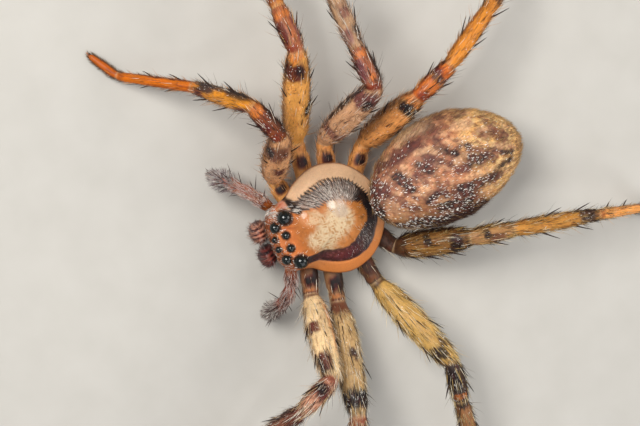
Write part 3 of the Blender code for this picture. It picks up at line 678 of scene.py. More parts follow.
def growLegHairs(coat, key, skin, seed):
    dark, cover, pale, warm = legHairTone[key]
    place, lift = skin.extra["place"], skin.extra["lift"]
    shown = (place > 0.45) * (0.4 + 0.6 * ease(place, 0.9, 1.1)) * (1 - 0.55 * ease(place, 4.6, 5.2))
    joint = hump(np.abs(place - np.round(place)), 0, 0.03) * (place < 5.5)
    for n, kind in enumerate(("lying", "fine", "long", "strand")):
        count, length, width, rise, bends, droop, spread = legCoat[kind]
        weight = shown * (1 - 0.75 * joint)
        if kind == "strand":  # more of them where the coat is thick
            count = int(count * (cover ** 1.5 * 2))
        if kind == "fine":  # a fringe along both edges
            weight = weight * (0.25 + ease(np.abs(np.sin(skin.extra["turn"])), 0.5, 0.9))
        if kind == "long":
            weight = weight * (0.3 + 0.7 * (lift > -0.2)) * (place < 4.6)
        roots = skin.pick(count, weight, seed + n)
        draw = np.random.default_rng(seed + 50 + n)
        size = 1 - 0.45 * ease(roots["place"], 3.8, 5.6)
        inMark = 1 - ease(roots["colour"].mean(1), 0.03, 0.11)
        fine = alongStreaks(roots["place"], roots["turn"], 0.9, 0.06, 35)
        isDark = draw.random(count) < dark * 0.3 + 0.6 * inMark + 0.9 * dark * ease(fine, 0.45, 0.7)
        tone = np.where(draw.random(count)[:, None] < 0.45, pale, warm)
        hide = np.clip(cover * (1.25 - inMark) + (0.3 if kind == "fine" else 0.0), 0, 1)
        tone = blend(roots["colour"] * 1.2, tone, hide)
        tone = tone * draw.uniform(0.55, 1.35, count)[:, None]
        if kind == "long":
            isDark = draw.random(count) < 0.25
        if kind == "strand":
            isDark = draw.random(count) < 0.34
            tone = np.where(draw.random(count)[:, None] < 0.6, blend(pale, white, 0.5), warm)
        tip = np.where(isDark[:, None], darkBrown * 0.5, tone)
        root = np.where(isDark[:, None], black, tone * 0.75 + roots["colour"] * 0.25)
        coat.add(*hairArrays(roots, length * size, width, rise, droop, root, tip, seed + 90 + n, bends, spread))
    # short bright scales as painted highlights, white glints most of them on the dark marks, then a dense pad under
    # the foot
    inMark = 1 - ease(skin.colours.mean(1), 0.05, 0.14)
    highlightScales = (place > 1.2) * (place < 3.9) * (lift > 0.25) * (0.15 + inMark)
    shine = ink(250, 246, 238)
    pad = (place > 4.9) * (lift < 0.3)
    for n, kind, weight, root, tip in ((6, "glint", highlightScales, shine * 0.8, shine),
                                       (7, "sole", pad, ink(90, 60, 40), ink(150, 120, 90))):
        count, length, width, rise, bends, droop, spread = legCoat[kind]
        roots = skin.pick(count, weight, seed + n)
        coat.add(*hairArrays(roots, length, width, rise, droop, root, tip, seed + 90 + n, bends, spread))


claws = {"back": 0.10, "height": 0.03, "apart": 0.045, "splay": 0.3, "length": 0.16, "lean": 80, "width": 0.05,
         "colours": (ink(40, 24, 16), ink(14, 9, 8))}


def growClaws(coat, joints):  # a pair of small hooked claws at the tip of the foot
    along = unit(joints[6] - joints[5])
    flat = unit(np.array((along[0], along[1], 0)))
    side = np.cross(flat, (0, 0, 1.0))
    for sign in (-1, 1):
        base = joints[6] - flat * claws["back"] + np.array((0, 0, claws["height"])) + side * sign * claws["apart"]
        coat.add(*spineArrays(base, np.array((0, 0, 1.0)), unit(flat + side * sign * claws["splay"]),
                              claws["length"], claws["lean"], claws["width"], *claws["colours"],
                              np.array((0.985, 0.5 + 0.2 * sign))))


for number, key in enumerate(legPose):
    joints = legJoints(key)
    skin = legSkin(key, joints)
    skin.colours = legColours(key, skin.extra["place"], skin.extra["turn"], skin.verts)
    nodes = [part + "_" + key for part in ("coxa", "femur", "patella", "tibia", "foot")]
    laySkin("leg" + titled(key), skin, finish["leg"], "femur", *nodes)
    coat = Coat()
    growLegHairs(coat, key, skin, 1000 + 100 * number)
    growSpines(coat, key, joints)
    growClaws(coat, joints)
    coat.lay("legHair" + titled(key), hairFinish)
print("legs done")


# carapace

def lineAway(x, y, start, end):  # distance from the line between two points
    dx, dy = end[0] - start[0], end[1] - start[1]
    along = np.clip(((x - start[0]) * dx + (y - start[1]) * dy) / (dx * dx + dy * dy + 1e-9), 0, 1)
    return np.hypot(x - start[0] - along * dx, y - start[1] - along * dy)


carapace = {
    "length": 5.0, "forward": 0.36, "brimHeight": 2.12, "crown": 3.45, "face": 2.85, "brimShare": 0.74,
    "faceShare": 0.90, "brimRise": 0.42, "middle": 0.1, "rings": 110, "sides": 280, "rearDent": 22,
    # relief: rounded rim, furrow inside the brim, pit behind the middle, grooves that fan out, rings round the eyes
    "rim": 0.05, "furrow": 0.05, "pit": 0.07, "groove": 0.035, "grooveTurns": (0.9, 1.35, 1.85, 2.35),
    "eyeRing": 0.05, "under": ((0.3, 1.965), (0.9, 1.965), (0.972, 1.97), (0.99, 2.02)),
    "place": (0, 0.0025, 0.01, 0.0225, 0.04, 0.0625, 0.09, 0.16, 0.214, 0.257, 0.30, 0.36, 0.42, 0.48, 0.54,
              0.60, 0.71, 0.78, 0.835, 0.886, 0.93, 0.965, 0.99, 1.0),
    "half": (0, 0.55, 0.85, 1.08, 1.27, 1.40, 1.47, 1.58, 1.70, 1.94, 2.11, 2.29, 2.42, 2.49, 2.50, 2.45, 2.26,
             2.02, 1.74, 1.38, 1.02, 0.68, 0.34, 0),
}
eyes = {  # sideways, forward, height and diameter
    "lateral_rear": (1.03, 2.00, 2.96, 0.63), "lateral_front": (0.75, 2.53, 2.82, 0.46),
    "middle_rear": (0.30, 2.21, 3.02, 0.36), "middle_front": (0.23, 2.70, 2.74, 0.30),
}


def eyesAround(x, y):  # how far each spot is from each eye, with the eye's diameter
    for out, forward, height, wide in eyes.values():
        for sign in (-1, 1):
            yield np.hypot(x - sign * out, y + forward), wide


def carapaceEdge(angle):
    even = 2 * math.pi * np.arange(720) / 720  # the outline is eased a little, so no corner shows
    half = np.interp(np.sin(even / 2), np.sqrt(carapace["place"]), carapace["half"])
    x = np.copysign(half, np.sin(even))
    window = np.hanning(31) / np.hanning(31).sum()
    x = np.convolve(np.r_[x[-15:], x, x[:15]], window, "valid")
    share = (1 - np.cos(angle)) / 2
    ahead = np.maximum(0.0, np.cos(angle))
    y = (share - 0.5) * carapace["length"] - carapace["forward"] * ahead ** 2
    y = y - carapace["rearDent"] * np.maximum(0.0, share - 0.9) ** 2
    return np.interp(np.asarray(angle) % (2 * math.pi), np.r_[even, 2 * math.pi], np.r_[x, x[0]]), y


def carapaceHeight(share, angle):
    edge, face, crown = carapace["brimShare"], carapace["faceShare"], carapace["crown"]
    brim, high = carapace["brimHeight"], carapace["face"]
    low = brim + carapace["brimRise"]
    body = np.where(share > edge, brim + carapace["brimRise"] * np.clip((1 - share) / (1 - edge), 0, 1) ** 0.9,
                    low + (crown - low) * (1 - (np.minimum(share, edge) / edge) ** 2.2))
    front = np.where(share > face, brim + (high - brim) * np.clip((1 - share) / (1 - face), 0, 1) ** 0.5,
                     high + (crown - high) * (1 - (np.minimum(share, face) / face) ** 1.6))
    return body + (front - body) * ease(np.cos(angle), 0.45, 0.85)


def carapaceSkin():
    sides, count = carapace["sides"], carapace["rings"]
    angle = 2 * math.pi * np.arange(sides) / sides
    share = np.r_[1 - 0.1 * np.linspace(0, 1, 18) ** 1.6, np.linspace(0.9, 0.02, count)[1:]]
    edgeX, edgeY = carapaceEdge(angle)
    x = edgeX[None] * share[:, None]
    y = carapace["middle"] + (edgeY - carapace["middle"])[None] * share[:, None]
    grid = np.broadcast_to(angle[None], x.shape)
    shares = np.broadcast_to(share[:, None], x.shape)
    z = carapaceHeight(shares, grid)
    z = z - carapace["rim"] * hump(shares, 1.0, 0.02)
    z = z - carapace["furrow"] * hump(shares, 0.76, 0.03) * (1 - ease(np.cos(grid), 0.6, 0.9))
    z = z - carapace["pit"] * hump(x, 0, 0.05) * hump(y, 0.75, 0.30)
    for aim in carapace["grooveTurns"]:
        for sign in (-1, 1):
            away = np.abs(wrapped(grid - sign * aim))
            z = z - (carapace["groove"] * hump(away * shares, 0, 0.04) * ease(shares, 0.12, 0.3)
                     * (1 - ease(shares, 0.62, 0.74)))
    for away, wide in eyesAround(x, y):
        z = z + carapace["eyeRing"] * hump(away, wide * 0.50, wide * 0.20) * (z > 2.4)
    rings = np.stack([x, y, z], -1)
    under = np.stack([np.stack([edgeX * s, carapace["middle"] + (edgeY - carapace["middle"]) * s,
                                np.full(sides, h)], -1)
                      for s, h in carapace["under"]])
    rings = np.concatenate([under, rings])
    shares = np.concatenate([np.full((4, sides), 1.0), shares])
    grid = np.concatenate([np.broadcast_to(angle[None], (4, sides)), grid])
    verts, tris = tubeSkin(rings)
    shares = np.r_[shares.ravel(), 1.0, 0.0]
    grid = np.r_[grid.ravel(), 0.0, 0.0]
    below = np.r_[np.repeat(np.arange(len(rings)) < 4, sides), True, False].astype(float)
    uv = np.stack([0.5 + 0.46 * shares * np.sin(grid), 0.5 - 0.46 * shares * np.cos(grid)], 1)
    outward = np.stack([np.sin(grid), -np.cos(grid), np.zeros(len(grid))], 1)
    return Skin(verts, tris, uv, outward, {"share": shares, "angle": grid, "below": below})


# dark horseshoe: turn from the front (the spider's left is positive), its outer and its inner edge
carapaceBand = (
    # the rows near half a turn carry the band out towards the rim: there it is the real dark band with painted
    # shadow of the gap before the abdomen
    (-3.15, 0.93, 0.61), (-2.95, 0.86, 0.60), (-2.75, 0.80, 0.58), (-2.50, 0.77, 0.47), (-2.31, 0.78, 0.44),
    (-1.97, 0.74, 0.41), (-1.77, 0.73, 0.41), (-1.50, 0.72, 0.41), (-1.23, 0.72, 0.45), (-1.08, 0.78, 0.49),
    (-0.95, 0.83, 0.56), (-0.80, 0.85, 0.64), (-0.66, 0.84, 0.72), (0.36, 0.78, 0.74), (0.48, 0.81, 0.67),
    (0.62, 0.84, 0.62), (0.80, 0.84, 0.58), (1.11, 0.77, 0.50), (1.30, 0.76, 0.47), (1.58, 0.77, 0.45),
    (1.95, 0.80, 0.43), (2.27, 0.81, 0.43), (2.48, 0.81, 0.46), (2.69, 0.83, 0.56), (2.90, 0.86, 0.60),
    (3.15, 0.93, 0.61),
)
combMiddle = (-0.33, 0.47)  # the teeth of the horseshoe's comb fan out from here


def combOf(spots):  # 1 on the dark teeth of the horseshoe's comb, 0 on the pale ones between
    fan = np.arctan2(spots[:, 0] - combMiddle[0], combMiddle[1] - spots[:, 1])
    return 0.5 + 0.5 * np.cos(fan * 62 + (mottle(spots, 0.7, 43) - 0.5) * 16)


def spotOf(x, y, place, wide):
    return 1 - ease(np.hypot(x - place[0], y - place[1]), wide * 0.6, wide * 1.4)


carapaceInk = {
    "rimRight": ink(198, 160, 124), "rimLeft": ink(188, 112, 52), "rimEdge": ink(104, 54, 28),
    "middle": ink(176, 108, 50), "middleFront": ink(160, 92, 36), "brow": ink(218, 150, 100),
    "field": ink(166, 126, 82), "fieldPale": ink(200, 180, 146), "beige": ink(178, 156, 134),
    "frontSpot": ink(238, 204, 180), "whiteSpot": ink(232, 216, 196), "pinkSpot": ink(204, 138, 116),
    "band": ink(34, 26, 27), "bandMaroon": ink(92, 30, 36), "bandRose": ink(150, 84, 88),
    "bandGrey": ink(74, 66, 64), "tooth": ink(186, 164, 150), "toothEnd": ink(206, 184, 168),
    "face": ink(196, 108, 50), "faceStreak": ink(112, 40, 26), "faceEdge": ink(190, 90, 46),
    "gap": ink(28, 20, 20), "socket": ink(34, 16, 14), "under": ink(180, 130, 86),
}


def carapaceColours(skin):
    inks = carapaceInk
    spots, share, angle = skin.verts, skin.extra["share"], skin.extra["angle"]
    x, y = spots[:, 0], spots[:, 1]

    def ground(word):
        return np.tile(inks[word], (len(x), 1))

    rim = blend(ground("rimRight"), inks["rimLeft"], ease(x, -1.5, 2.2))
    rim = rim * (0.84 + 0.32 * mottle(spots, 0.5, 3))[:, None]
    rim = blend(rim, inks["rimEdge"], ease(share, 0.975, 0.995) * 0.75)
    # orange middle, with a field of pale squiggles, a smooth beige place and a white one
    middle = blend(ground("middle"), inks["middleFront"], ease(-y - 0.25 * x, 0.2, 1.0))
    middle = middle * (0.76 + 0.46 * mottle(spots, 0.11, 9))[:, None]
    middle = blend(middle, inks["brow"], spotOf(x, y, (-0.72, -1.0), 0.42) * 0.45)
    worms = np.abs(lumps(spots, 0.10, 29) - 0.5) * 2
    edge = (mottle(spots, 0.30, 27) - 0.5) * 0.5
    grown = 1 - ease(lineAway(x, y, (-0.20, 0.15), (0.42, -0.70)) + edge, 0.35, 0.90)
    grown = np.maximum(grown, (1 - ease(lineAway(x, y, (-0.62, -0.90), (-0.35, -0.30)) + edge, 0.16, 0.36)) * 0.7)
    field = blend(ground("field"), inks["fieldPale"], 1 - ease(worms, 0.05, 0.85))
    middle = blend(middle, field, grown * 0.85)
    middle = blend(middle, inks["beige"], spotOf(x + edge * 0.3, y, (-0.50, 0.36), 0.30) * 0.9)
    middle = blend(middle, inks["frontSpot"], spotOf(x + edge * 0.5, y, (-0.84, -1.18), 0.13) * 0.55)
    # dark horseshoe, with a comb of pale teeth on the spider's right
    sides, outer, inner = (np.array(v) for v in zip(*carapaceBand))
    turn = wrapped(angle)
    outer, inner = np.interp(turn, sides, outer), np.interp(turn, sides, inner)
    comb = combOf(spots)
    right = ease(-x, -0.3, 0.5)
    ragged = (mottle(spots, 0.3, 31) - 0.5) * 0.09
    toothed = (comb - 0.5) * 0.05 * right
    horseshoe = (ease(share + ragged + toothed, inner - 0.025, inner + 0.025)
                 * (1 - ease(share + ragged * 0.5 - toothed * 1.4, outer - 0.02, outer + 0.015)))
    horseshoe = horseshoe * np.where(turn > 0, ease(turn, 0.38, 0.46), ease(-turn, 0.60, 0.72))
    across = np.clip((share - inner) / (outer - inner), 0, 1)
    dark = blend(ground("band"), inks["bandMaroon"], hump(turn, 1.5, 0.55) * hump(across, 0.5, 0.4))
    dark = blend(dark, inks["bandRose"], hump(turn, 1.5, 0.6) * ease(mottle(spots, 0.12, 47), 0.58, 0.68) * 0.45)
    dark = blend(dark, inks["bandGrey"], hump(turn, 2.35, 0.30) * 0.7)
    teeth = (1 - comb) * right * (1 - ease(np.abs(turn), 2.35, 2.6)) * (1 - 0.55 * ease(across, 0.55, 0.95))
    dark = blend(dark, inks["tooth"], teeth * 0.75)
    colours = blend(middle, rim, ease(share, outer - 0.06, outer))
    # streaked face, then the horseshoe and the small spots over all
    face = ease(np.cos(angle), 0.72, 0.86) * ease(share, 0.55, 0.75)
    face = face * (1 - 0.4 * ease(share, 0.93, 0.97))
    streaks = ease(lumps(np.stack([angle * 14, share, share * 0], 1), 1, 37), 0.45, 0.7)
    colours = blend(colours, blend(ground("face"), inks["faceStreak"], streaks * 0.6), face * 0.85)
    colours = blend(colours, dark, np.clip(horseshoe * (0.85 + 0.3 * mottle(spots, 0.3, 41)), 0, 1))
    for start, end, half in (((-1.10, -1.34), (-1.45, -1.52), 0.16), ((-1.45, -1.52), (-1.66, -1.66), 0.09)):
        gap = 1 - ease(lineAway(x, y, start, end) + ragged, half * 0.7, half * 1.4)
        colours = blend(colours, inks["gap"], gap * 0.9)
    colours = blend(colours, inks["pinkSpot"], spotOf(x, y, (-1.46, -1.86), 0.16) * 0.9)
    colours = blend(colours, inks["whiteSpot"], spotOf(x + ragged * 2.5, y + ragged, (-0.84, 0.09), 0.16) * 0.9)
    pale = hump(np.hypot((x + 0.86) * 1.4, y - 0.50), 0, 0.34) * right
    colours = blend(colours, inks["toothEnd"], pale * (1 - comb * 0.6) * 0.8)
    for away, wide in eyesAround(x, y):
        colours = blend(colours, inks["socket"], (1 - ease(away, wide * 0.52, wide * 0.66)) * 0.9)
    colours = blend(colours, inks["faceEdge"], hump(share, 0.972, 0.012) * ease(np.cos(angle), 0.6, 0.75) * 0.8)
    colours = blend(colours, inks["under"], skin.extra["below"])
    skin.horseshoe, skin.teeth, skin.across = horseshoe, comb, across
    skin.field, skin.inside = grown, (1 - horseshoe) * (share < inner)
    return colours


# how many hairs, length and width in mm, lift, colours of root and tip, seed, spread, bends and droop
carapaceHairs = {
    "comb": (3600, 0.26, 0.018, 8, black, ink(48, 38, 38), 301, 6, 2, 0.2),
    "combPale": (2300, 0.234, 0.0216, 12, ink(176, 156, 146), white, 311, 6, 2, 0.2),
    "maroon": (1500, 0.208, 0.018, 10, ink(40, 18, 20), ink(104, 48, 52), 313, 16, 2, 0.2),
    "wisp": (260, 0.234, 0.018, 16, ink(130, 118, 112), ink(236, 228, 220), 314, 14, 2, 0.2),
    "sparkLeft": (60, 0.08, 0.06, 22, ink(220, 210, 204), white, 315, 40, 1, 0.2),
    "sparkRight": (26, 0.08, 0.06, 22, ink(220, 214, 210), white, 316, 40, 1, 0.2),
    "squiggle": (2200, 0.0884, 0.0234, 5, ink(172, 134, 92), ink(206, 186, 152), 321, 70, 3, 0.6),
    "streak": (900, 0.208, 0.0216, 8, ink(170, 92, 34), ink(214, 152, 84), 325, 18, 2, 0.2),
    "streakPale": (70, 0.208, 0.027, 12, ink(226, 196, 150), white, 327, 16, 2, 0.2),
    "whitePatch": (520, 0.182, 0.0198, 10, ink(232, 218, 200), ink(252, 246, 236), 331, 25, 2, 0.2),
    "frontDot": (46, 0.10, 0.085, 20, ink(230, 206, 170), white, 341, 60, 1, 0.2),
    "frontPale": (60, 0.156, 0.0288, 14, ink(240, 214, 196), white, 343, 30, 2, 0.2),
    "brow": (420, 0.182, 0.018, 26, ink(150, 70, 36), ink(206, 120, 62), 351, 40, 2, 0.2),
    "browPale": (50, 0.234, 0.0216, 34, ink(200, 186, 172), white, 361, 40, 2, 0.2),
    "browSpark": (150, 0.09, 0.075, 34, ink(240, 236, 230), white, 365, 40, 1, 0.2),
    "cheek": (90, 0.234, 0.0288, 24, ink(214, 206, 198), white, 371, 12, 2, 0.2),
    "faceOrange": (420, 0.234, 0.018, 18, ink(150, 70, 40), ink(206, 130, 84), 391, 20, 2, 0.2),
    "facePale": (26, 0.286, 0.018, 24, ink(200, 186, 172), white, 393, 20, 2, 0.2),
    "faceDark": (240, 0.208, 0.018, 14, ink(50, 22, 20), ink(96, 44, 34), 395, 20, 2, 0.2),
}


def layCarapace():
    skin = carapaceSkin()
    skin.colours = carapaceColours(skin)
    laySkin("carapaceShell", skin, finish["brim"], "carapace", "carapace")
    coat = Coat()
    share, turn = skin.extra["share"], wrapped(skin.extra["angle"])
    x, y = skin.verts[:, 0], skin.verts[:, 1]
    top = 1 - skin.extra["below"]

    def grow(kind, weight, fanned=False):
        count, length, width, lift, root, tip, seed, spread, bends, droop = carapaceHairs[kind]
        roots = skin.pick(count, weight * top, seed)
        if fanned:  # along the teeth of the comb
            roots["lie"] = unit(np.c_[roots["spot"][:, :2] - combMiddle, np.zeros(count)])
        shade = np.random.default_rng(seed + 3).uniform(0.7, 1.15, count)[:, None]
        coat.add(*hairArrays(roots, length, width, lift, droop, root * shade, tip * shade, seed + 5, bends, spread))

    right = ease(-x, -0.3, 0.5)
    low = 1 - ease(share, 0.68, 0.78)
    comb = skin.teeth ** 2
    grow("comb", skin.horseshoe * low * right * (0.08 + comb), True)
    grow("combPale", skin.horseshoe * low * right * (0.03 + (1 - skin.teeth) ** 2) * (1.1 - skin.across)
         * (1 - ease(np.abs(turn), 2.3, 2.55)), True)
    grow("maroon", skin.horseshoe * low * (1 - right), True)
    grow("wisp", skin.horseshoe * hump(turn, 2.3, 0.3) * low + skin.horseshoe * hump(turn, -0.80, 0.16) * 1.5, True)
    grow("sparkLeft", skin.horseshoe * hump(np.hypot(x - 1.6, y - 0.12), 0, 0.3))
    grow("sparkRight", skin.horseshoe * right)
    grow("squiggle", skin.field * skin.inside)
    bare = skin.inside * (1 - skin.field)
    grow("streak", bare * ease(y, -0.4, 0.6), True)
    grow("streakPale", bare * ease(y, 0.2, 0.7), True)
    pale = hump(np.hypot((x + 0.86) * 1.4, y - 0.50), 0, 0.34)
    patch = hump(np.hypot(x + 0.84, y - 0.09), 0, 0.17) + 0.25 * hump(np.hypot(x + 0.60, y - 0.50), 0, 0.25)
    grow("whitePatch", patch + 0.5 * pale * (1 - comb), True)
    front = ease(-y, 0.9, 1.2) * (1 - ease(-y, 1.9, 2.1)) * skin.inside
    grow("frontDot", front)
    grow("frontPale", front * hump(np.hypot(x + 0.84, y + 1.15), 0, 0.25))
    near = np.max([hump(away, wide * 0.72, wide * 0.2) for away, wide in eyesAround(x, y)], 0)
    ahead = ease(-y, 1.9, 2.5)
    grow("brow", near * (0.2 + ahead))
    grow("browPale", near * ahead)
    grow("browSpark", near * ahead)
    grow("cheek", hump(np.hypot(x + 1.34, y + 2.34), 0, 0.20))
    clypeus = ease(-y, 2.2, 2.4) * ease(share, 0.85, 0.95)
    for kind in ("faceOrange", "facePale", "faceDark"):
        grow(kind, clypeus)
    coat.lay("carapaceHair", hairFinish)


layCarapace()
print("carapace done")


# eyes

eyeLook = {"cloud": 2500, "dark": (0.003, 0.0035, 0.004), "light": (0.006, 0.010, 0.008), "roughness": 0.04,
           "rows": 28, "sides": 40}


def layEyes():
    glass = clouded("eyeGlass", eyeLook["cloud"], eyeLook["dark"], eyeLook["light"],
                    {"Roughness": eyeLook["roughness"]})
    level = np.linspace(0.02, math.pi - 0.02, eyeLook["rows"])[:, None]
    around = 2 * math.pi * np.arange(eyeLook["sides"])[None] / eyeLook["sides"]
    ball = np.stack(np.broadcast_arrays(np.sin(level) * np.cos(around), np.sin(level) * np.sin(around),
                                        np.cos(level)), -1)
    for word, (out, forward, height, wide) in eyes.items():
        for side, hand in ((-1, "right"), (1, "left")):
            verts, tris = tubeSkin(ball * wide / 2 + np.array((side * out, -forward, height)))
            skin = Skin(verts, tris, np.zeros((len(verts), 2)), np.zeros_like(verts), {})
            skin.colours = np.tile(np.array(eyeLook["dark"]), (len(verts), 1))
            laySkin("eye" + titled(word, hand), skin, glass, "eye", "eye_" + word + "_" + hand)


layEyes()
print("eyes done")


# face and palps

face = {  # heights of the jaw from its top down, and its size at each
    "width": 0.98, "out": 0.56, "fang": 0.75, "rows": 60, "sides": 48,
    "height": (2.27, 2.22, 2.06, 1.87, 1.60, 1.32, 1.10, 0.95, 0.92),
    "forward": (3.20, 3.20, 3.20, 3.175, 3.13, 3.10, 3.06, 3.02, 3.01),
    "wide": (0.02, 0.46, 0.74, 0.90, 0.97, 0.93, 0.78, 0.46, 0.02),
    "deep": (0.02, 0.30, 0.54, 0.74, 0.88, 0.91, 0.78, 0.46, 0.02),
    "hairs": ((1300, 0.28, 6), (108, 0.42, 24)), "hairWidth": 0.020,  # how many, length and lift
    "top": ink(170, 80, 46), "fangInk": ink(52, 18, 12),
}


def smoothPath(points, values, step):
    # an even curve through the points, with the values carried along
    points = np.array(points, float)
    run = np.r_[0, np.cumsum(np.linalg.norm(np.diff(points, axis=0), axis=1))]
    count = max(8, int(run[-1] / step))
    at = np.linspace(0, run[-1], count)
    line = np.stack([np.interp(at, run, points[:, k]) for k in range(3)], 1)
    sizes = np.interp(at, run, values)
    kernel = np.ones(7) / 7
    for again in range(2):
        padded = np.vstack([np.repeat(line[:1], 3, 0), line, np.repeat(line[-1:], 3, 0)])
        smooth = np.stack([np.convolve(padded[:, k], kernel, "valid") for k in range(3)], 1)
        smooth[0], smooth[-1] = line[0], line[-1]
        line = smooth
        wide = np.r_[np.repeat(sizes[:1], 3), sizes, np.repeat(sizes[-1:], 3)]
        sizes = np.convolve(wide, kernel, "valid")
    return line, sizes


def pathSkin(points, values, step, sides):
    line, sizes = smoothPath(points, values, step)
    rings, along, angle = tubeOf(line, sizes, sizes, sides)
    verts, tris = tubeSkin(rings)
    share = np.repeat(np.linspace(0, 1, len(line)), sides)
    uv = np.stack([0.05 + 0.9 * share, 0.06 + 0.88 * np.tile(angle, len(line)) / 2 / math.pi], 1)
    uv = np.vstack([uv, uv[0], uv[-1]])
    lie = np.vstack([np.repeat(along, sides, axis=0), along[0], along[-1]])
    return Skin(verts, tris, uv, lie, {"share": np.r_[share, 0, 1]})


def anyOf(draw, count, *tones):  # colours picked at random, each with its share
    shares = np.array([t[0] for t in tones], float)
    return np.array([t[1] for t in tones])[draw.choice(len(tones), count, p=shares / shares.sum())]


jawInk = {  # skin, stripe and the colours of the hairs with their shares
    "right": (ink(190, 130, 104), ink(56, 20, 22), ((4, ink(190, 142, 122)), (3, ink(98, 36, 34)),
                                                   (1.5, ink(30, 20, 20)), (1.5, ink(226, 214, 208)))),
    "left": (ink(110, 48, 42), ink(28, 12, 16), ((4, ink(98, 36, 38)), (1.6, ink(34, 20, 22)),
                                                (1.4, ink(170, 60, 44)), (1.6, ink(190, 172, 170)))),
}


def jawSkin(out):
    rows, sides = face["rows"], face["sides"]
    level = np.array(face["height"])
    run = np.linspace(0, 1, rows)
    run = (run - np.sin(2 * math.pi * run) / 2 / math.pi * 0.9) * (level[0] - level[-1])

    def along(word):
        values = np.interp(run, level[0] - level, face[word])
        for again in range(6):
            values = softened(values)
        return values[:, None]

    angle = 2 * math.pi * np.arange(sides) / sides
    x = out + along("wide") * face["width"] / 2 * np.sin(angle)[None]
    y = -along("forward") - along("deep") * face["width"] / 2 * np.cos(angle)[None]
    z = np.repeat((level[0] - run)[:, None], sides, 1)
    spots, tris = tubeSkin(np.stack([x, y, z], -1))
    share = np.r_[np.repeat(run / run[-1], sides), 0, 1]
    turn = np.r_[np.tile(signedTurn(angle), rows), 0, 0]
    uv = np.stack([0.06 + 0.88 * ((turn / 2 / math.pi) % 1), 0.05 + 0.9 * share], 1)
    lie = np.tile(np.array((0, 0.0, -1.0)), (len(spots), 1))
    top = 1 - ease(share, 0.05, 0.30)
    lie = unit(lie + top[:, None] * np.array((0, -1.2, 0)))
    return Skin(spots, tris, uv, lie, {"share": share, "turn": turn})


def layChelicera(side, hand):
    out = side * face["out"]
    skin = jawSkin(out)
    spots, share = skin.verts, skin.extra["share"]
    pale, dark, tones = jawInk[hand]
    stripes = 0.5 + 0.5 * np.cos((spots[:, 0] - out) * 33 + (mottle(spots, 0.5, 61) - 0.5) * 6)
    colours = blend(np.tile(dark, (len(spots), 1)), pale, ease(stripes, 0.35, 0.80))
    colours = blend(colours, face["top"], (1 - ease(share, 0.0, 0.05)) * 0.4)
    skin.colours = colours * (0.85 + 0.3 * mottle(spots, 0.3, 67))[:, None]
    laySkin("chelicera" + titled(hand), skin, finish["dark"], "chelicera", "chelicera_" + hand)
    coat = Coat()
    for n, (count, size, lift) in enumerate(face["hairs"]):
        draw = np.random.default_rng(405 + n + (side > 0) * 7)
        roots = skin.pick(count, 1 - 0.6 * ease(share, 0.75, 1.0), 401 + n + (10 if side > 0 else 0))
        tip = anyOf(draw, count, *tones)
        tip = blend(tip, roots["colour"] * 1.1, np.full(count, 0.62)) * draw.uniform(0.7, 1.3, count)[:, None]
        coat.add(*hairArrays(roots, size, face["hairWidth"], lift, 0.1, tip * 0.8, tip, 411 + n, 2, 5))
    coat.lay("cheliceraHair" + titled(hand), hairFinish)
    tip = np.array((out * 0.84, -3.02, 0.78))
    reach = np.array((-side * 0.16, face["fang"], -0.10))
    points = [tip + np.array((0, -0.06, 0.20))]
    for s in (0.0, 0.3, 0.6, 0.85, 1.0):
        points.append(tip + reach * s - np.array((0, 0, 0.12 * math.sin(math.pi * s))))
    skin = pathSkin(points, (0.26, 0.24, 0.20, 0.15, 0.08, 0.02), 0.03, 24)
    skin.colours = np.tile(face["fangInk"], (len(skin.verts), 1))
    laySkin("fang" + titled(hand), skin, finish["dark"], "fang", "fang_" + hand)


palps = {  # turns and rises of the four lengths, then their sizes, and the hairs as for the legs
    "right": {"turns": (60, 50, 46, 42), "rises": (34, 4, -26, -36)},
    "left": {"turns": (62, 46, 34, 24), "rises": (40, 6, -36, -52)},
    "sizes": (1.15, 0.62, 0.72, 0.85), "width": 0.62,
    "hair": (1900, 0.40, 0.020), "brush": (900, 0.022), "brushLength": {"right": 0.36, "left": 0.30},
    "bristle": (16, 0.66, 0.045),
    "band": ink(80, 34, 28), "blotch": ink(36, 20, 18),
}
palpInk = {  # base, middle and end of the skin, the hairs, and the brush at the tip, each with its share
    "right": (ink(168, 92, 42), ink(150, 82, 58), ink(150, 96, 84),
              ((3, ink(200, 150, 118)), (5, ink(232, 222, 214)), (1.6, ink(104, 54, 48)), (2, ink(180, 150, 148))),
              ((3, ink(206, 198, 194)), (2, ink(150, 124, 128)), (1.5, ink(90, 62, 66)), (1.5, white))),
    "left": (ink(150, 84, 52), ink(118, 60, 46), ink(118, 80, 72),
             ((3, ink(196, 142, 118)), (5, ink(232, 220, 212)), (2.2, ink(96, 50, 46)), (0.8, ink(60, 40, 40))),
             ((2, ink(206, 194, 184)), (2, ink(140, 114, 110)), (2, ink(84, 56, 56)), (3, white))),
}


def palpSkin(side, hand):
    spots = [np.array((side * 1.18, -2.12, 1.34)), np.array((side * 1.34, -2.30, 1.34))]
    for turn, rise, size in zip(palps[hand]["turns"], palps[hand]["rises"], palps["sizes"]):
        spots.append(spots[-1] + heading(turn, rise, side) * size)
    path, wide = spots[:2], [0.36, 0.44]
    for n, (a, b) in enumerate(zip(spots[1:], spots[2:])):
        path += [a + (b - a) * s for s in (0.14, 0.5, 0.9, 1.0)]
        wide += [palps["width"] * s for s in ((0.80, 0.94, 0.84, 0.62) if n < 3 else (0.86, 0.94, 0.62, 0.2))]
    return pathSkin(path, wide, 0.04, 36)


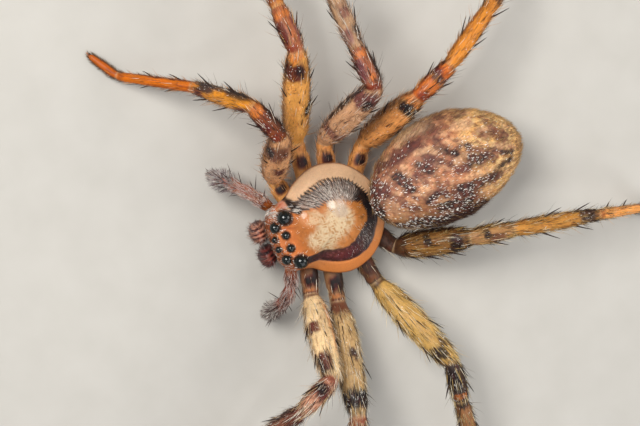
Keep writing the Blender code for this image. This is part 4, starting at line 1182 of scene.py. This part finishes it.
def layPalp(side, hand):
    skin = palpSkin(side, hand)
    share = skin.extra["share"]
    base, middle, end, tones, brush = palpInk[hand]
    colours = blend(np.tile(base, (len(share), 1)), middle, ease(share, 0.26, 0.42))
    colours = blend(colours, end, ease(share, 0.62, 0.80))
    colours = blend(colours, palps["band"], hump(share, 0.30, 0.05) * 0.8)
    colours = blend(colours, palps["blotch"], ease(mottle(skin.verts, 0.34, 73), 0.56, 0.64) * (share < 0.6) * 0.7)
    skin.colours = colours * (0.82 + 0.36 * mottle(skin.verts, 0.3, 71))[:, None]
    laySkin("palp" + titled(hand), skin, finish["leg"], "palp", "palp_" + hand)
    coat = Coat()
    seed = 500 + (20 if side > 0 else 0)
    draw = np.random.default_rng(seed)
    count, length, width = palps["hair"]
    roots = skin.pick(count, ease(share, 0.08, 0.25), seed + 1)
    tip = anyOf(draw, count, *tones) * draw.uniform(0.75, 1.15, count)[:, None]
    root = blend(tip * 0.7, roots["colour"], np.full(count, 0.4))
    coat.add(*hairArrays(roots, length, width, 12, 0.10, root, tip, seed + 2, 2, 12))
    count, width = palps["brush"]
    roots = skin.pick(count, ease(share, 0.60, 0.85), seed + 3)
    tip = anyOf(draw, count, *brush) * draw.uniform(0.75, 1.15, count)[:, None]
    lift = 58 - 34 * ease(roots["share"], 0.75, 1.0)
    coat.add(*hairArrays(roots, palps["brushLength"][hand], width, lift, -0.05, tip * 0.5, tip, seed + 4, 2, 12))
    count, length, width = palps["bristle"]
    roots = skin.pick(count, ease(share, 0.2, 0.4), seed + 5)
    coat.add(*hairArrays(roots, length, width, 50, 0.05, black, darkBrown, seed + 6, 3, 14))
    coat.lay("palpHair" + titled(hand), hairFinish)


for side, hand in ((-1, "right"), (1, "left")):
    layChelicera(side, hand)
    layPalp(side, hand)
print("face done")


# abdomen

abdomen = {
    "start": 1.60, "length": 7.20, "width": 4.65, "height": 3.5, "level": 3.0, "side": -0.21, "lean": -0.34,
    "rings": 190, "sides": 230,
}
# streaks on the back in mm: from x, y to x, y, half width, strength and, for dark ones, the colour
abdomenMarks = {
    "pale": (
        (-2.39, 3.51, -2.53, 4.14, 0.14, 0.8), (-1.79, 2.60, -1.92, 3.03, 0.11, 0.7),
        (-1.81, 4.14, -1.60, 5.11, 0.18, 0.8), (-2.20, 6.03, -2.12, 6.80, 0.17, 0.9),
        (-1.74, 6.95, -1.52, 7.65, 0.12, 0.9), (-0.92, 5.51, -1.06, 5.98, 0.16, 0.7),
        (-0.60, 2.40, -0.50, 2.72, 0.12, 0.5), (-0.22, 3.51, -0.27, 3.90, 0.19, 0.6),
        (0.36, 4.19, 0.49, 4.64, 0.08, 0.9), (-0.13, 5.73, -0.04, 6.38, 0.14, 0.6),
        (0.84, 5.98, 1.05, 6.60, 0.09, 0.5), (-1.85, 5.42, -1.65, 5.58, 0.11, 0.6),
        (-1.44, 3.32, -1.11, 3.46, 0.14, 0.6), (-0.35, 2.09, 0.54, 2.73, 0.23, 0.3),
        (-0.83, 7.40, -0.53, 8.11, 0.11, 0.5), (0.50, 7.28, 0.48, 7.64, 0.09, 0.6),
    ),
    "dark": (
        (-1.07, 1.93, -0.78, 2.29, 0.26, 1, "umber"), (-1.18, 2.98, -0.59, 3.31, 0.18, 1, "soot"),
        (-1.61, 2.34, -1.81, 3.14, 0.12, 0.9, "umber"), (-1.81, 3.14, -2.10, 4.06, 0.14, 0.9, "umber"),
        (-2.27, 4.20, -2.43, 5.05, 0.22, 0.6, "umber"), (-1.54, 4.39, -1.32, 4.59, 0.16, 0.8, "umber"),
        (-1.30, 4.01, -0.97, 4.40, 0.18, 1, "soot"), (-1.00, 3.79, -0.81, 3.91, 0.12, 0.7, "umber"),
        (-1.95, 5.03, -1.71, 5.06, 0.14, 0.7, "umber"), (-1.44, 5.28, -1.22, 5.59, 0.15, 0.95, "soot"),
        (-1.15, 4.91, -0.95, 5.18, 0.10, 0.7, "umber"), (-0.74, 6.16, -0.56, 6.79, 0.20, 1, "soot"),
        (-0.69, 7.06, -0.58, 7.30, 0.17, 0.8, "umber"), (-1.40, 6.19, -1.27, 6.28, 0.08, 0.9, "soot"),
        (-0.62, 5.40, -0.50, 5.81, 0.13, 0.9, "umber"), (0.23, 3.89, 0.02, 4.39, 0.15, 0.95, "soot"),
        (0.02, 4.39, 0.26, 4.71, 0.11, 0.9, "soot"), (0.72, 4.29, 0.78, 4.92, 0.19, 1, "soot"),
        (0.29, 5.40, 0.73, 5.64, 0.20, 1, "soot"), (0.38, 5.83, 0.30, 6.99, 0.16, 0.9, "soot"),
        (1.53, 4.75, 1.01, 5.53, 0.22, 1, "soot"), (1.02, 2.12, 1.02, 3.09, 0.14, 1, "soot"),
        (1.02, 3.09, 1.60, 4.75, 0.22, 1, "soot"), (0.26, 2.99, 0.38, 3.32, 0.10, 0.8, "umber"),
        (-0.09, 3.32, -0.04, 3.45, 0.07, 0.8, "umber"), (-1.33, 7.66, -0.93, 7.99, 0.17, 0.8, "umber"),
        (-0.40, 7.57, -0.26, 8.06, 0.09, 0.9, "soot"), (0.05, 7.24, 0.07, 7.88, 0.09, 0.9, "soot"),
        (-2.58, 6.25, -2.51, 6.85, 0.09, 0.6, "umber"), (-1.88, 7.46, -1.65, 7.67, 0.14, 0.6, "umber"),
        (-1.55, 6.85, -1.35, 7.31, 0.16, 0.45, "umber"), (-2.43, 5.65, -2.30, 5.77, 0.10, 0.5, "umber"),
        (0.49, 6.61, 0.46, 7.29, 0.11, 0.7, "soot"), (-1.19, 6.25, -0.92, 6.66, 0.07, 0.5, "umber"),
        (-2.93, 5.07, -2.66, 5.82, 0.10, 0.5, "umber"), (0.12, 2.75, -0.04, 2.89, 0.08, 0.4, "umber"),
        (-0.46, 4.45, -0.26, 4.57, 0.09, 0.6, "umber"),
    ),
}
abdomenInk = {
    "ground": ink(192, 132, 96), "rear": ink(236, 178, 104), "side": ink(150, 108, 62), "web": ink(98, 60, 52),
    "combedDark": ink(100, 64, 48), "combedPale": ink(230, 192, 132), "fleck": ink(216, 168, 128),
    "pale": ink(220, 174, 132), "umber": ink(88, 50, 46), "soot": ink(44, 28, 28), "rim": ink(42, 26, 24),
    "neck": ink(26, 18, 18), "paleRim": ink(206, 176, 140), "rust": ink(138, 70, 50), "belly": ink(160, 126, 88),
}
abdomenCoat = {  # how many hairs, length and width in mm, lift, droop and spread
    "lying": (9000, 0.34, 0.018, 8, 0.2, 12), "glint": (1150, 0.075, 0.066, 26, 0.1, 12),
    "side": (3600, 0.42, 0.018, 18, 0.1, 14), "edge": (900, 0.42, 0.024, 22, 0.1, 14),
    "fuzz": (320, 0.22, 0.018, 25, 0.1, 15),
    "glintInk": (ink(235, 228, 214), ink(255, 252, 244)), "fuzzInk": (ink(70, 54, 44), ink(190, 170, 140)),
}


def abdomenSkin():
    shape, sides, count = abdomen, abdomen["sides"], abdomen["rings"]
    share = 0.5 - 0.5 * np.cos(np.linspace(0.06, math.pi - 0.06, count))
    swell = np.sin(math.pi * share) ** 0.49
    lift = 0.12 * np.sin(math.pi * share) + 0.50 * (1 - share) ** 4
    line = np.stack([shape["side"] + shape["lean"] * np.sin(math.pi * share * 0.7),
                     shape["start"] + shape["length"] * share,
                     shape["level"] + lift], 1)
    wide, tall = shape["width"] * swell, shape["height"] * swell
    angle = 2 * math.pi * np.arange(sides) / sides
    x = line[:, None, 0] + np.sin(angle)[None] * wide[:, None] / 2
    y = np.broadcast_to(line[:, None, 1], x.shape)
    z = line[:, None, 2] + np.cos(angle)[None] * tall[:, None] / 2
    place = np.repeat(share, sides)
    verts, tris = tubeSkin(np.stack([x, y, z], -1))
    uv = np.stack([0.06 + 0.88 * np.tile(angle, count) / 2 / math.pi, 0.04 + 0.92 * place], 1)
    uv = np.vstack([uv, uv[0], uv[-1]])
    extra = {"place": np.r_[place, 0, 1], "turn": np.r_[np.tile(signedTurn(angle), count), 0, 0],
             "swell": np.r_[np.repeat(swell, sides), 0, 0]}
    lie = np.tile(np.array((0, 1.0, 0)), (len(verts), 1))
    lie[:, 0] = np.sin(extra["turn"]) * (1 - extra["place"]) * 0.7
    lie[:, 2] = -np.abs(np.sin(extra["turn"])) * 0.25
    skin = Skin(verts, tris, uv, lie, extra)
    dimples = (mottle(skin.verts, 0.5, 83) - 0.5) * 0.10
    skin.verts = skin.verts + skin.normals * (dimples[:, None] - 0.03)
    skin.normals = vertexNormals(skin.verts, skin.tris)
    return skin


def streak(x, y, x1, y1, x2, y2, half):  # 1 on the line between two points, 0 outside its half width
    return 1 - ease(lineAway(x, y, (x1, y1), (x2, y2)), half * 0.70, half * 1.30)


def abdomenColours(skin):
    inks, spots, place, turn = abdomenInk, skin.verts, skin.extra["place"], skin.extra["turn"]
    across = np.sin(turn) * skin.extra["swell"]
    x = spots[:, 0] + (mottle(spots, 0.30, 91) - 0.5) * 0.34
    y = spots[:, 1] + (mottle(spots, 0.30, 97) - 0.5) * 0.34
    ground = np.tile(inks["ground"], (len(spots), 1))
    ground = blend(ground, inks["rear"], ease(place, 0.50, 0.80))
    ground = blend(ground, inks["side"], ease(across, -0.1, 0.6) * (1 - ease(place, 0.35, 0.6)) * 0.9)
    colours = ground * (0.78 + 0.44 * mottle(spots, 0.4, 101))[:, None]
    above = ease(np.cos(turn), -0.45, 0.0)
    web = ease(mottle(spots, 0.40, 107), 0.46, 0.55)
    calm = ease(across, -0.1, 0.6) * (1 - ease(place, 0.25, 0.5)) * 0.6 + 0.42 * ease(place, 0.6, 0.85)
    colours = blend(colours, inks["web"], web * (0.74 - 0.80 * calm).clip(0) * above)
    combed = mottle(spots * (2.2, 0.6, 1.6), 0.22, 109)  # drawn out towards the rear
    behind = ease(place, 0.52, 0.82) * above
    colours = blend(colours, inks["combedDark"], ease(combed, 0.55, 0.64) * behind * 0.75)
    colours = blend(colours, inks["combedPale"], (1 - ease(combed, 0.45, 0.53)) * behind * 0.9)
    fleck = ease(mottle(spots, 0.24, 113), 0.57, 0.64)
    colours = blend(colours, inks["fleck"], fleck * 0.5 * above)
    for x1, y1, x2, y2, half, strength in abdomenMarks["pale"]:
        colours = blend(colours, inks["pale"], streak(x, y, x1, y1, x2, y2, half) * strength * above)
    for x1, y1, x2, y2, half, strength, word in abdomenMarks["dark"]:
        halo = streak(x, y, x1, y1, x2, y2, half * 2.1) * strength * mottle(spots, 0.2, 137)
        colours = blend(colours, inks["umber"], np.clip(halo * 0.8, 0, 1) * above)
        near = streak(x, y, x1, y1, x2, y2, half * 1.15) * strength * (0.55 + 0.8 * mottle(spots, 0.12, 131))
        colours = blend(colours, inks[word], np.clip(near, 0, 1) * above)
    shaded = ease(across, 0.0, 0.7) * (1 - ease(place, 0.6, 0.8))
    colours = blend(colours, colours * (0.74, 0.66, 0.60), shaded * 0.8)
    rim = ease(across + (mottle(spots, 0.4, 89) - 0.5) * 0.4, 0.60, 0.90) * (1 - ease(place, 0.58, 0.80))
    colours = blend(colours, inks["rim"], rim * ease(np.cos(turn), -0.8, -0.1) * 0.9)
    # painted shadow: the front end by the waist is blackened for the shade in the gap before the carapace, along
    # with its black hairs
    neck = (1 - ease(place + (mottle(spots, 0.3, 93) - 0.5) * 0.05, 0.035, 0.075)) * ease(across, -0.55, 0.0)
    colours = blend(colours, inks["neck"], neck * 0.9)
    paleRim = ease(-across, 0.80, 0.93) * (1 - ease(place, 0.40, 0.55))
    colours = blend(colours, inks["paleRim"], paleRim * 0.6)
    rust = ease(lumps(spots, 0.13, 143), 0.56, 0.74) * above
    colours = blend(colours * (0.74 + 0.52 * lumps(spots, 0.11, 141))[:, None], inks["rust"], rust * 0.35)
    return blend(colours, inks["belly"], (1 - above) * 0.8)


def layAbdomen():
    skin = abdomenSkin()
    skin.colours = abdomenColours(skin)
    laySkin("abdomenSkin", skin, finish["abdomen"], "abdomen", "abdomen")
    place, turn = skin.extra["place"], skin.extra["turn"]
    across = np.sin(turn) * skin.extra["swell"]
    above = ease(np.cos(turn), -0.2, 0.3)
    draw = np.random.default_rng(601)
    coat = Coat()
    count, length, width, lift, droop, spread = abdomenCoat["lying"]
    roots = skin.pick(count, 0.35 + above, 602)
    tone = roots["colour"] * draw.uniform(0.4, 1.8, count)[:, None]
    luminous = ease(roots["colour"].mean(1), 0.06, 0.2)
    golden = (draw.random(count) < (0.08 + 0.50 * ease(roots["place"], 0.55, 0.85)) * luminous)[:, None]
    tip = np.where(golden, gold * draw.uniform(0.8, 1.2, count)[:, None], tone * 1.15)
    length = length * (0.8 + 0.5 * roots["place"])
    coat.add(*hairArrays(roots, length, width, lift, droop, tone * 0.9, tip, 603, 2, spread))
    coat.lay("abdomenHair", hairFinish)
    # short white scales as painted highlights, more of them in front and on the dark marks
    coat = Coat()
    count, length, width, lift, droop, spread = abdomenCoat["glint"]
    front = (1 - 0.8 * ease(place, 0.62, 0.85)) * above * (0.1 + ease(across, -0.75, -0.2))
    front = front * (0.40 + 1 - ease(skin.colours.mean(1), 0.035, 0.16))
    front = front * (1 - 0.6 * ease(across, 0.70, 0.90))
    roots = skin.pick(count, front, 611)
    coat.add(*hairArrays(roots, length, width, lift, droop, *abdomenCoat["glintInk"], 612, 2, spread))
    # longer hairs down the sides and at the rear, and black ones along the lower edge
    count, length, width, lift, droop, spread = abdomenCoat["side"]
    roots = skin.pick(count, 0.15 + hump(np.cos(turn), 0.0, 0.35) + ease(place, 0.85, 0.95) * 0.7, 621)
    shade = draw.uniform(0.7, 1.15, count)[:, None]
    tip = np.where(draw.random(count)[:, None] < 0.3, darkBrown, gold * 0.8) * shade
    tip = blend(tip, roots["colour"] * 1.1, np.full(count, 0.55))
    coat.add(*hairArrays(roots, length, width, lift, droop, tip * 0.8, tip * 1.1, 622, 2, spread))
    count, length, width, lift, droop, spread = abdomenCoat["edge"]
    roots = skin.pick(count, ease(across, 0.7, 0.95) * (1 - ease(place, 0.5, 0.7)), 631)
    coat.add(*hairArrays(roots, length, width, lift, droop, black, darkBrown, 632, 2, spread))
    coat.lay("abdomenSetae", hairFinish)


layAbdomen()
print("abdomen done")


spinnerets = {  # from the abdomen's middle, level and rear, then how the tube runs and how wide it is
    "side": -0.26, "apart": 0.30, "forward": 0.52, "down": 0.96, "reach": (0.06, 0.6, -0.375),
    "along": (-0.4, 0.0, 0.25, 0.5, 0.54, 0.8, 1.0), "wide": (0.40, 0.44, 0.46, 0.42, 0.38, 0.34, 0.12),
    "ink": ink(104, 82, 66),
}


def laySpinneret(side, hand):
    out, back, down = spinnerets["reach"]
    rear = abdomen["start"] + abdomen["length"]
    start = np.array((abdomen["side"] + spinnerets["side"] + side * spinnerets["apart"],
                      rear - spinnerets["forward"], abdomen["level"] - spinnerets["down"]))
    reach = np.array((side * out, back, down))
    skin = pathSkin([start + reach * s for s in spinnerets["along"]], spinnerets["wide"], 0.03, 30)
    skin.colours = spinnerets["ink"] * (0.8 + 0.4 * mottle(skin.verts, 0.2, 131))[:, None]
    laySkin("spinneret" + titled(hand), skin, finish["dark"], "spinneret", "spinneret_" + hand)
    count, length, width, lift, droop, spread = abdomenCoat["fuzz"]
    roots = skin.pick(count, 0.2 + skin.extra["share"], 641 + side)
    coat = Coat()
    coat.add(*hairArrays(roots, length, width, lift, droop, *abdomenCoat["fuzzInk"], 651, 2, spread))
    coat.lay("spinneretHair" + titled(hand), hairFinish)


for side, hand in ((-1, "right"), (1, "left")):
    laySpinneret(side, hand)
print("spinnerets done")


# underside

under = {
    "rear": 1.95, "halfWidth": 0.92, "sides": 80,
    "height": (1.95, 1.86, 1.7, 1.5, 1.35, 1.22, 1.12, 1.05, 1.01, 1.0),
    "share": (0.60, 0.58, 0.6, 0.63, 0.64, 0.62, 0.58, 0.50, 0.34, 0.10),
    "plate": ink(190, 140, 92), "waist": ink(170, 110, 66),
    "fuzz": (900, 0.28, 0.018, 24, 0.1, 18), "fuzzInk": (ink(120, 84, 56), ink(226, 200, 160)),
}


def layUnderside():
    angle = 2 * math.pi * np.arange(under["sides"]) / under["sides"]
    y = -np.cos(angle) * under["rear"] - 0.2
    x = np.sin(angle) * under["halfWidth"] * (1 - 0.25 * np.maximum(0, y) / 1.8)
    rings = np.stack([np.stack([x * s, y * (s + 0.3), np.full(len(x), h)], -1)
                      for s, h in zip(under["share"], under["height"])])
    verts, tris = tubeSkin(rings)
    uv = 0.5 + verts[:, :2] * 0.2
    lie = np.tile(np.array((0, 1.0, 0)), (len(verts), 1))
    skin = Skin(verts, tris, uv, lie, {})
    skin.colours = under["plate"] * (0.8 + 0.4 * mottle(verts, 0.5, 141))[:, None]
    laySkin("sternumPlate", skin, finish["brim"], "coxa", "sternum")
    count, length, width, lift, droop, spread = under["fuzz"]
    roots = skin.pick(count, (skin.normals[:, 2] < -0.1).astype(float), 701)
    coat = Coat()
    coat.add(*hairArrays(roots, length, width, lift, droop, *under["fuzzInk"], 702, 2, spread))
    coat.lay("sternumHair", hairFinish)
    start = abdomen["start"]
    points = [(0, 1.55, 1.54), (0, 1.76, 1.54), (0, start + 0.2, 1.56), (0, start + 0.40, 1.60),
              (0, start + 0.86, 2.05)]
    skin = pathSkin(points, (0.5, 0.48, 0.44, 0.44, 0.46), 0.03, 30)
    skin.colours = under["waist"] * (0.8 + 0.4 * mottle(skin.verts, 0.3, 151))[:, None]
    laySkin("waist", skin, finish["leg"], "coxa", "pedicel")


layUnderside()
print("underside done")


# floor, light and camera

floorLook = {"half": 2, "cloud": 600, "dark": (0.44, 0.42, 0.38), "light": (0.50, 0.48, 0.44), "roughness": 0.8}


def makeFloor():
    mesh = bpy.data.meshes.new("floor")
    half = floorLook["half"]
    mesh.from_pydata([(-half, -half, 0), (half, -half, 0), (half, half, 0), (-half, half, 0)], [], [(0, 1, 2, 3)])
    floor = bpy.data.objects.new("floor", mesh)
    bpy.context.scene.collection.objects.link(floor)
    floor.data.materials.append(clouded("paleFloor", floorLook["cloud"], floorLook["dark"], floorLook["light"],
                                        {"Roughness": floorLook["roughness"]}))


lights = {  # place in mm from the middle of the carapace, size in mm, watts, colour
    "key": ((-50, -30, 85), 45, 0.108, (1.0, 0.98, 0.95)),
    "fill": ((70, 20, 70), 90, 0.036, (0.96, 0.98, 1.0)),
    "back": ((10, 90, 60), 60, 0.045, (1.0, 0.97, 0.93)),
    "glintRight": ((-34, 22, 90), 6, 0.005, (1.0, 1.0, 1.0)),
    "glintLeft": ((24, -36, 88), 6, 0.005, (1.0, 1.0, 1.0)),
}
lightAim = (0, 1.5, 2)
studio = {"Color": (0.9, 0.93, 1.0, 1), "Strength": 0.27}


def makeLights():
    for name, (spot, size, power, colour) in lights.items():
        data = bpy.data.lights.new(name, "AREA")
        data.size = size * mm
        data.energy = power
        data.color = colour
        lamp = bpy.data.objects.new(name, data)
        lamp.location = (np.array(spot) + rowShift) * mm
        aim = Vector(np.array(lightAim) - np.array(spot))
        lamp.rotation_euler = aim.to_track_quat("-Z", "Y").to_euler()
        bpy.context.scene.collection.objects.link(lamp)
    world = bpy.data.worlds.new("studio")
    world.use_nodes = True
    setInputs(world.node_tree.nodes["Background"], studio)
    bpy.context.scene.world = world


camera = {  # how far it is tipped to the spider's right and to its front, and the turn of the picture
    "right": 13, "front": 6, "turn": 22, "perMillimetre": 23.0, "lens": 120, "sensor": 36,
    "aimHeight": 2.1, "pixel": (332, 219), "picture": (640, 426), "clip": (0.002, 10),
}


def makeCamera():
    right, front, turn = (math.radians(camera[k]) for k in ("right", "front", "turn"))
    back = unit(np.array((-math.tan(right), -math.tan(front), 1.0)))
    ahead = unit(np.array((0, 1.0, 0)) - back[1] * back)
    across = np.cross(ahead, back)
    wide = math.cos(turn) * ahead + math.sin(turn) * across
    high = math.sin(turn) * ahead - math.cos(turn) * across
    (x, y), (picWide, picHigh), scale = camera["pixel"], camera["picture"], camera["perMillimetre"]
    far = camera["lens"] * (picWide / scale) / camera["sensor"]
    offset = (x - picWide / 2) / scale * wide - (y - picHigh / 2) / scale * high
    spot = np.array((0, 0, camera["aimHeight"])) - offset + far * back
    data = bpy.data.cameras.new("camera")
    data.lens, data.sensor_width = camera["lens"], camera["sensor"]
    data.clip_start, data.clip_end = camera["clip"]
    item = bpy.data.objects.new("camera", data)
    turned = Matrix((wide, high, back)).transposed().to_4x4()
    turned.translation = Vector((spot + rowShift) * mm)
    item.matrix_world = turned
    bpy.context.scene.collection.objects.link(item)
    bpy.context.scene.camera = item


makeFloor()
makeLights()
makeCamera()
bpy.context.scene.view_settings.view_transform = "Standard"  # colours as they are mixed
print("stage done")
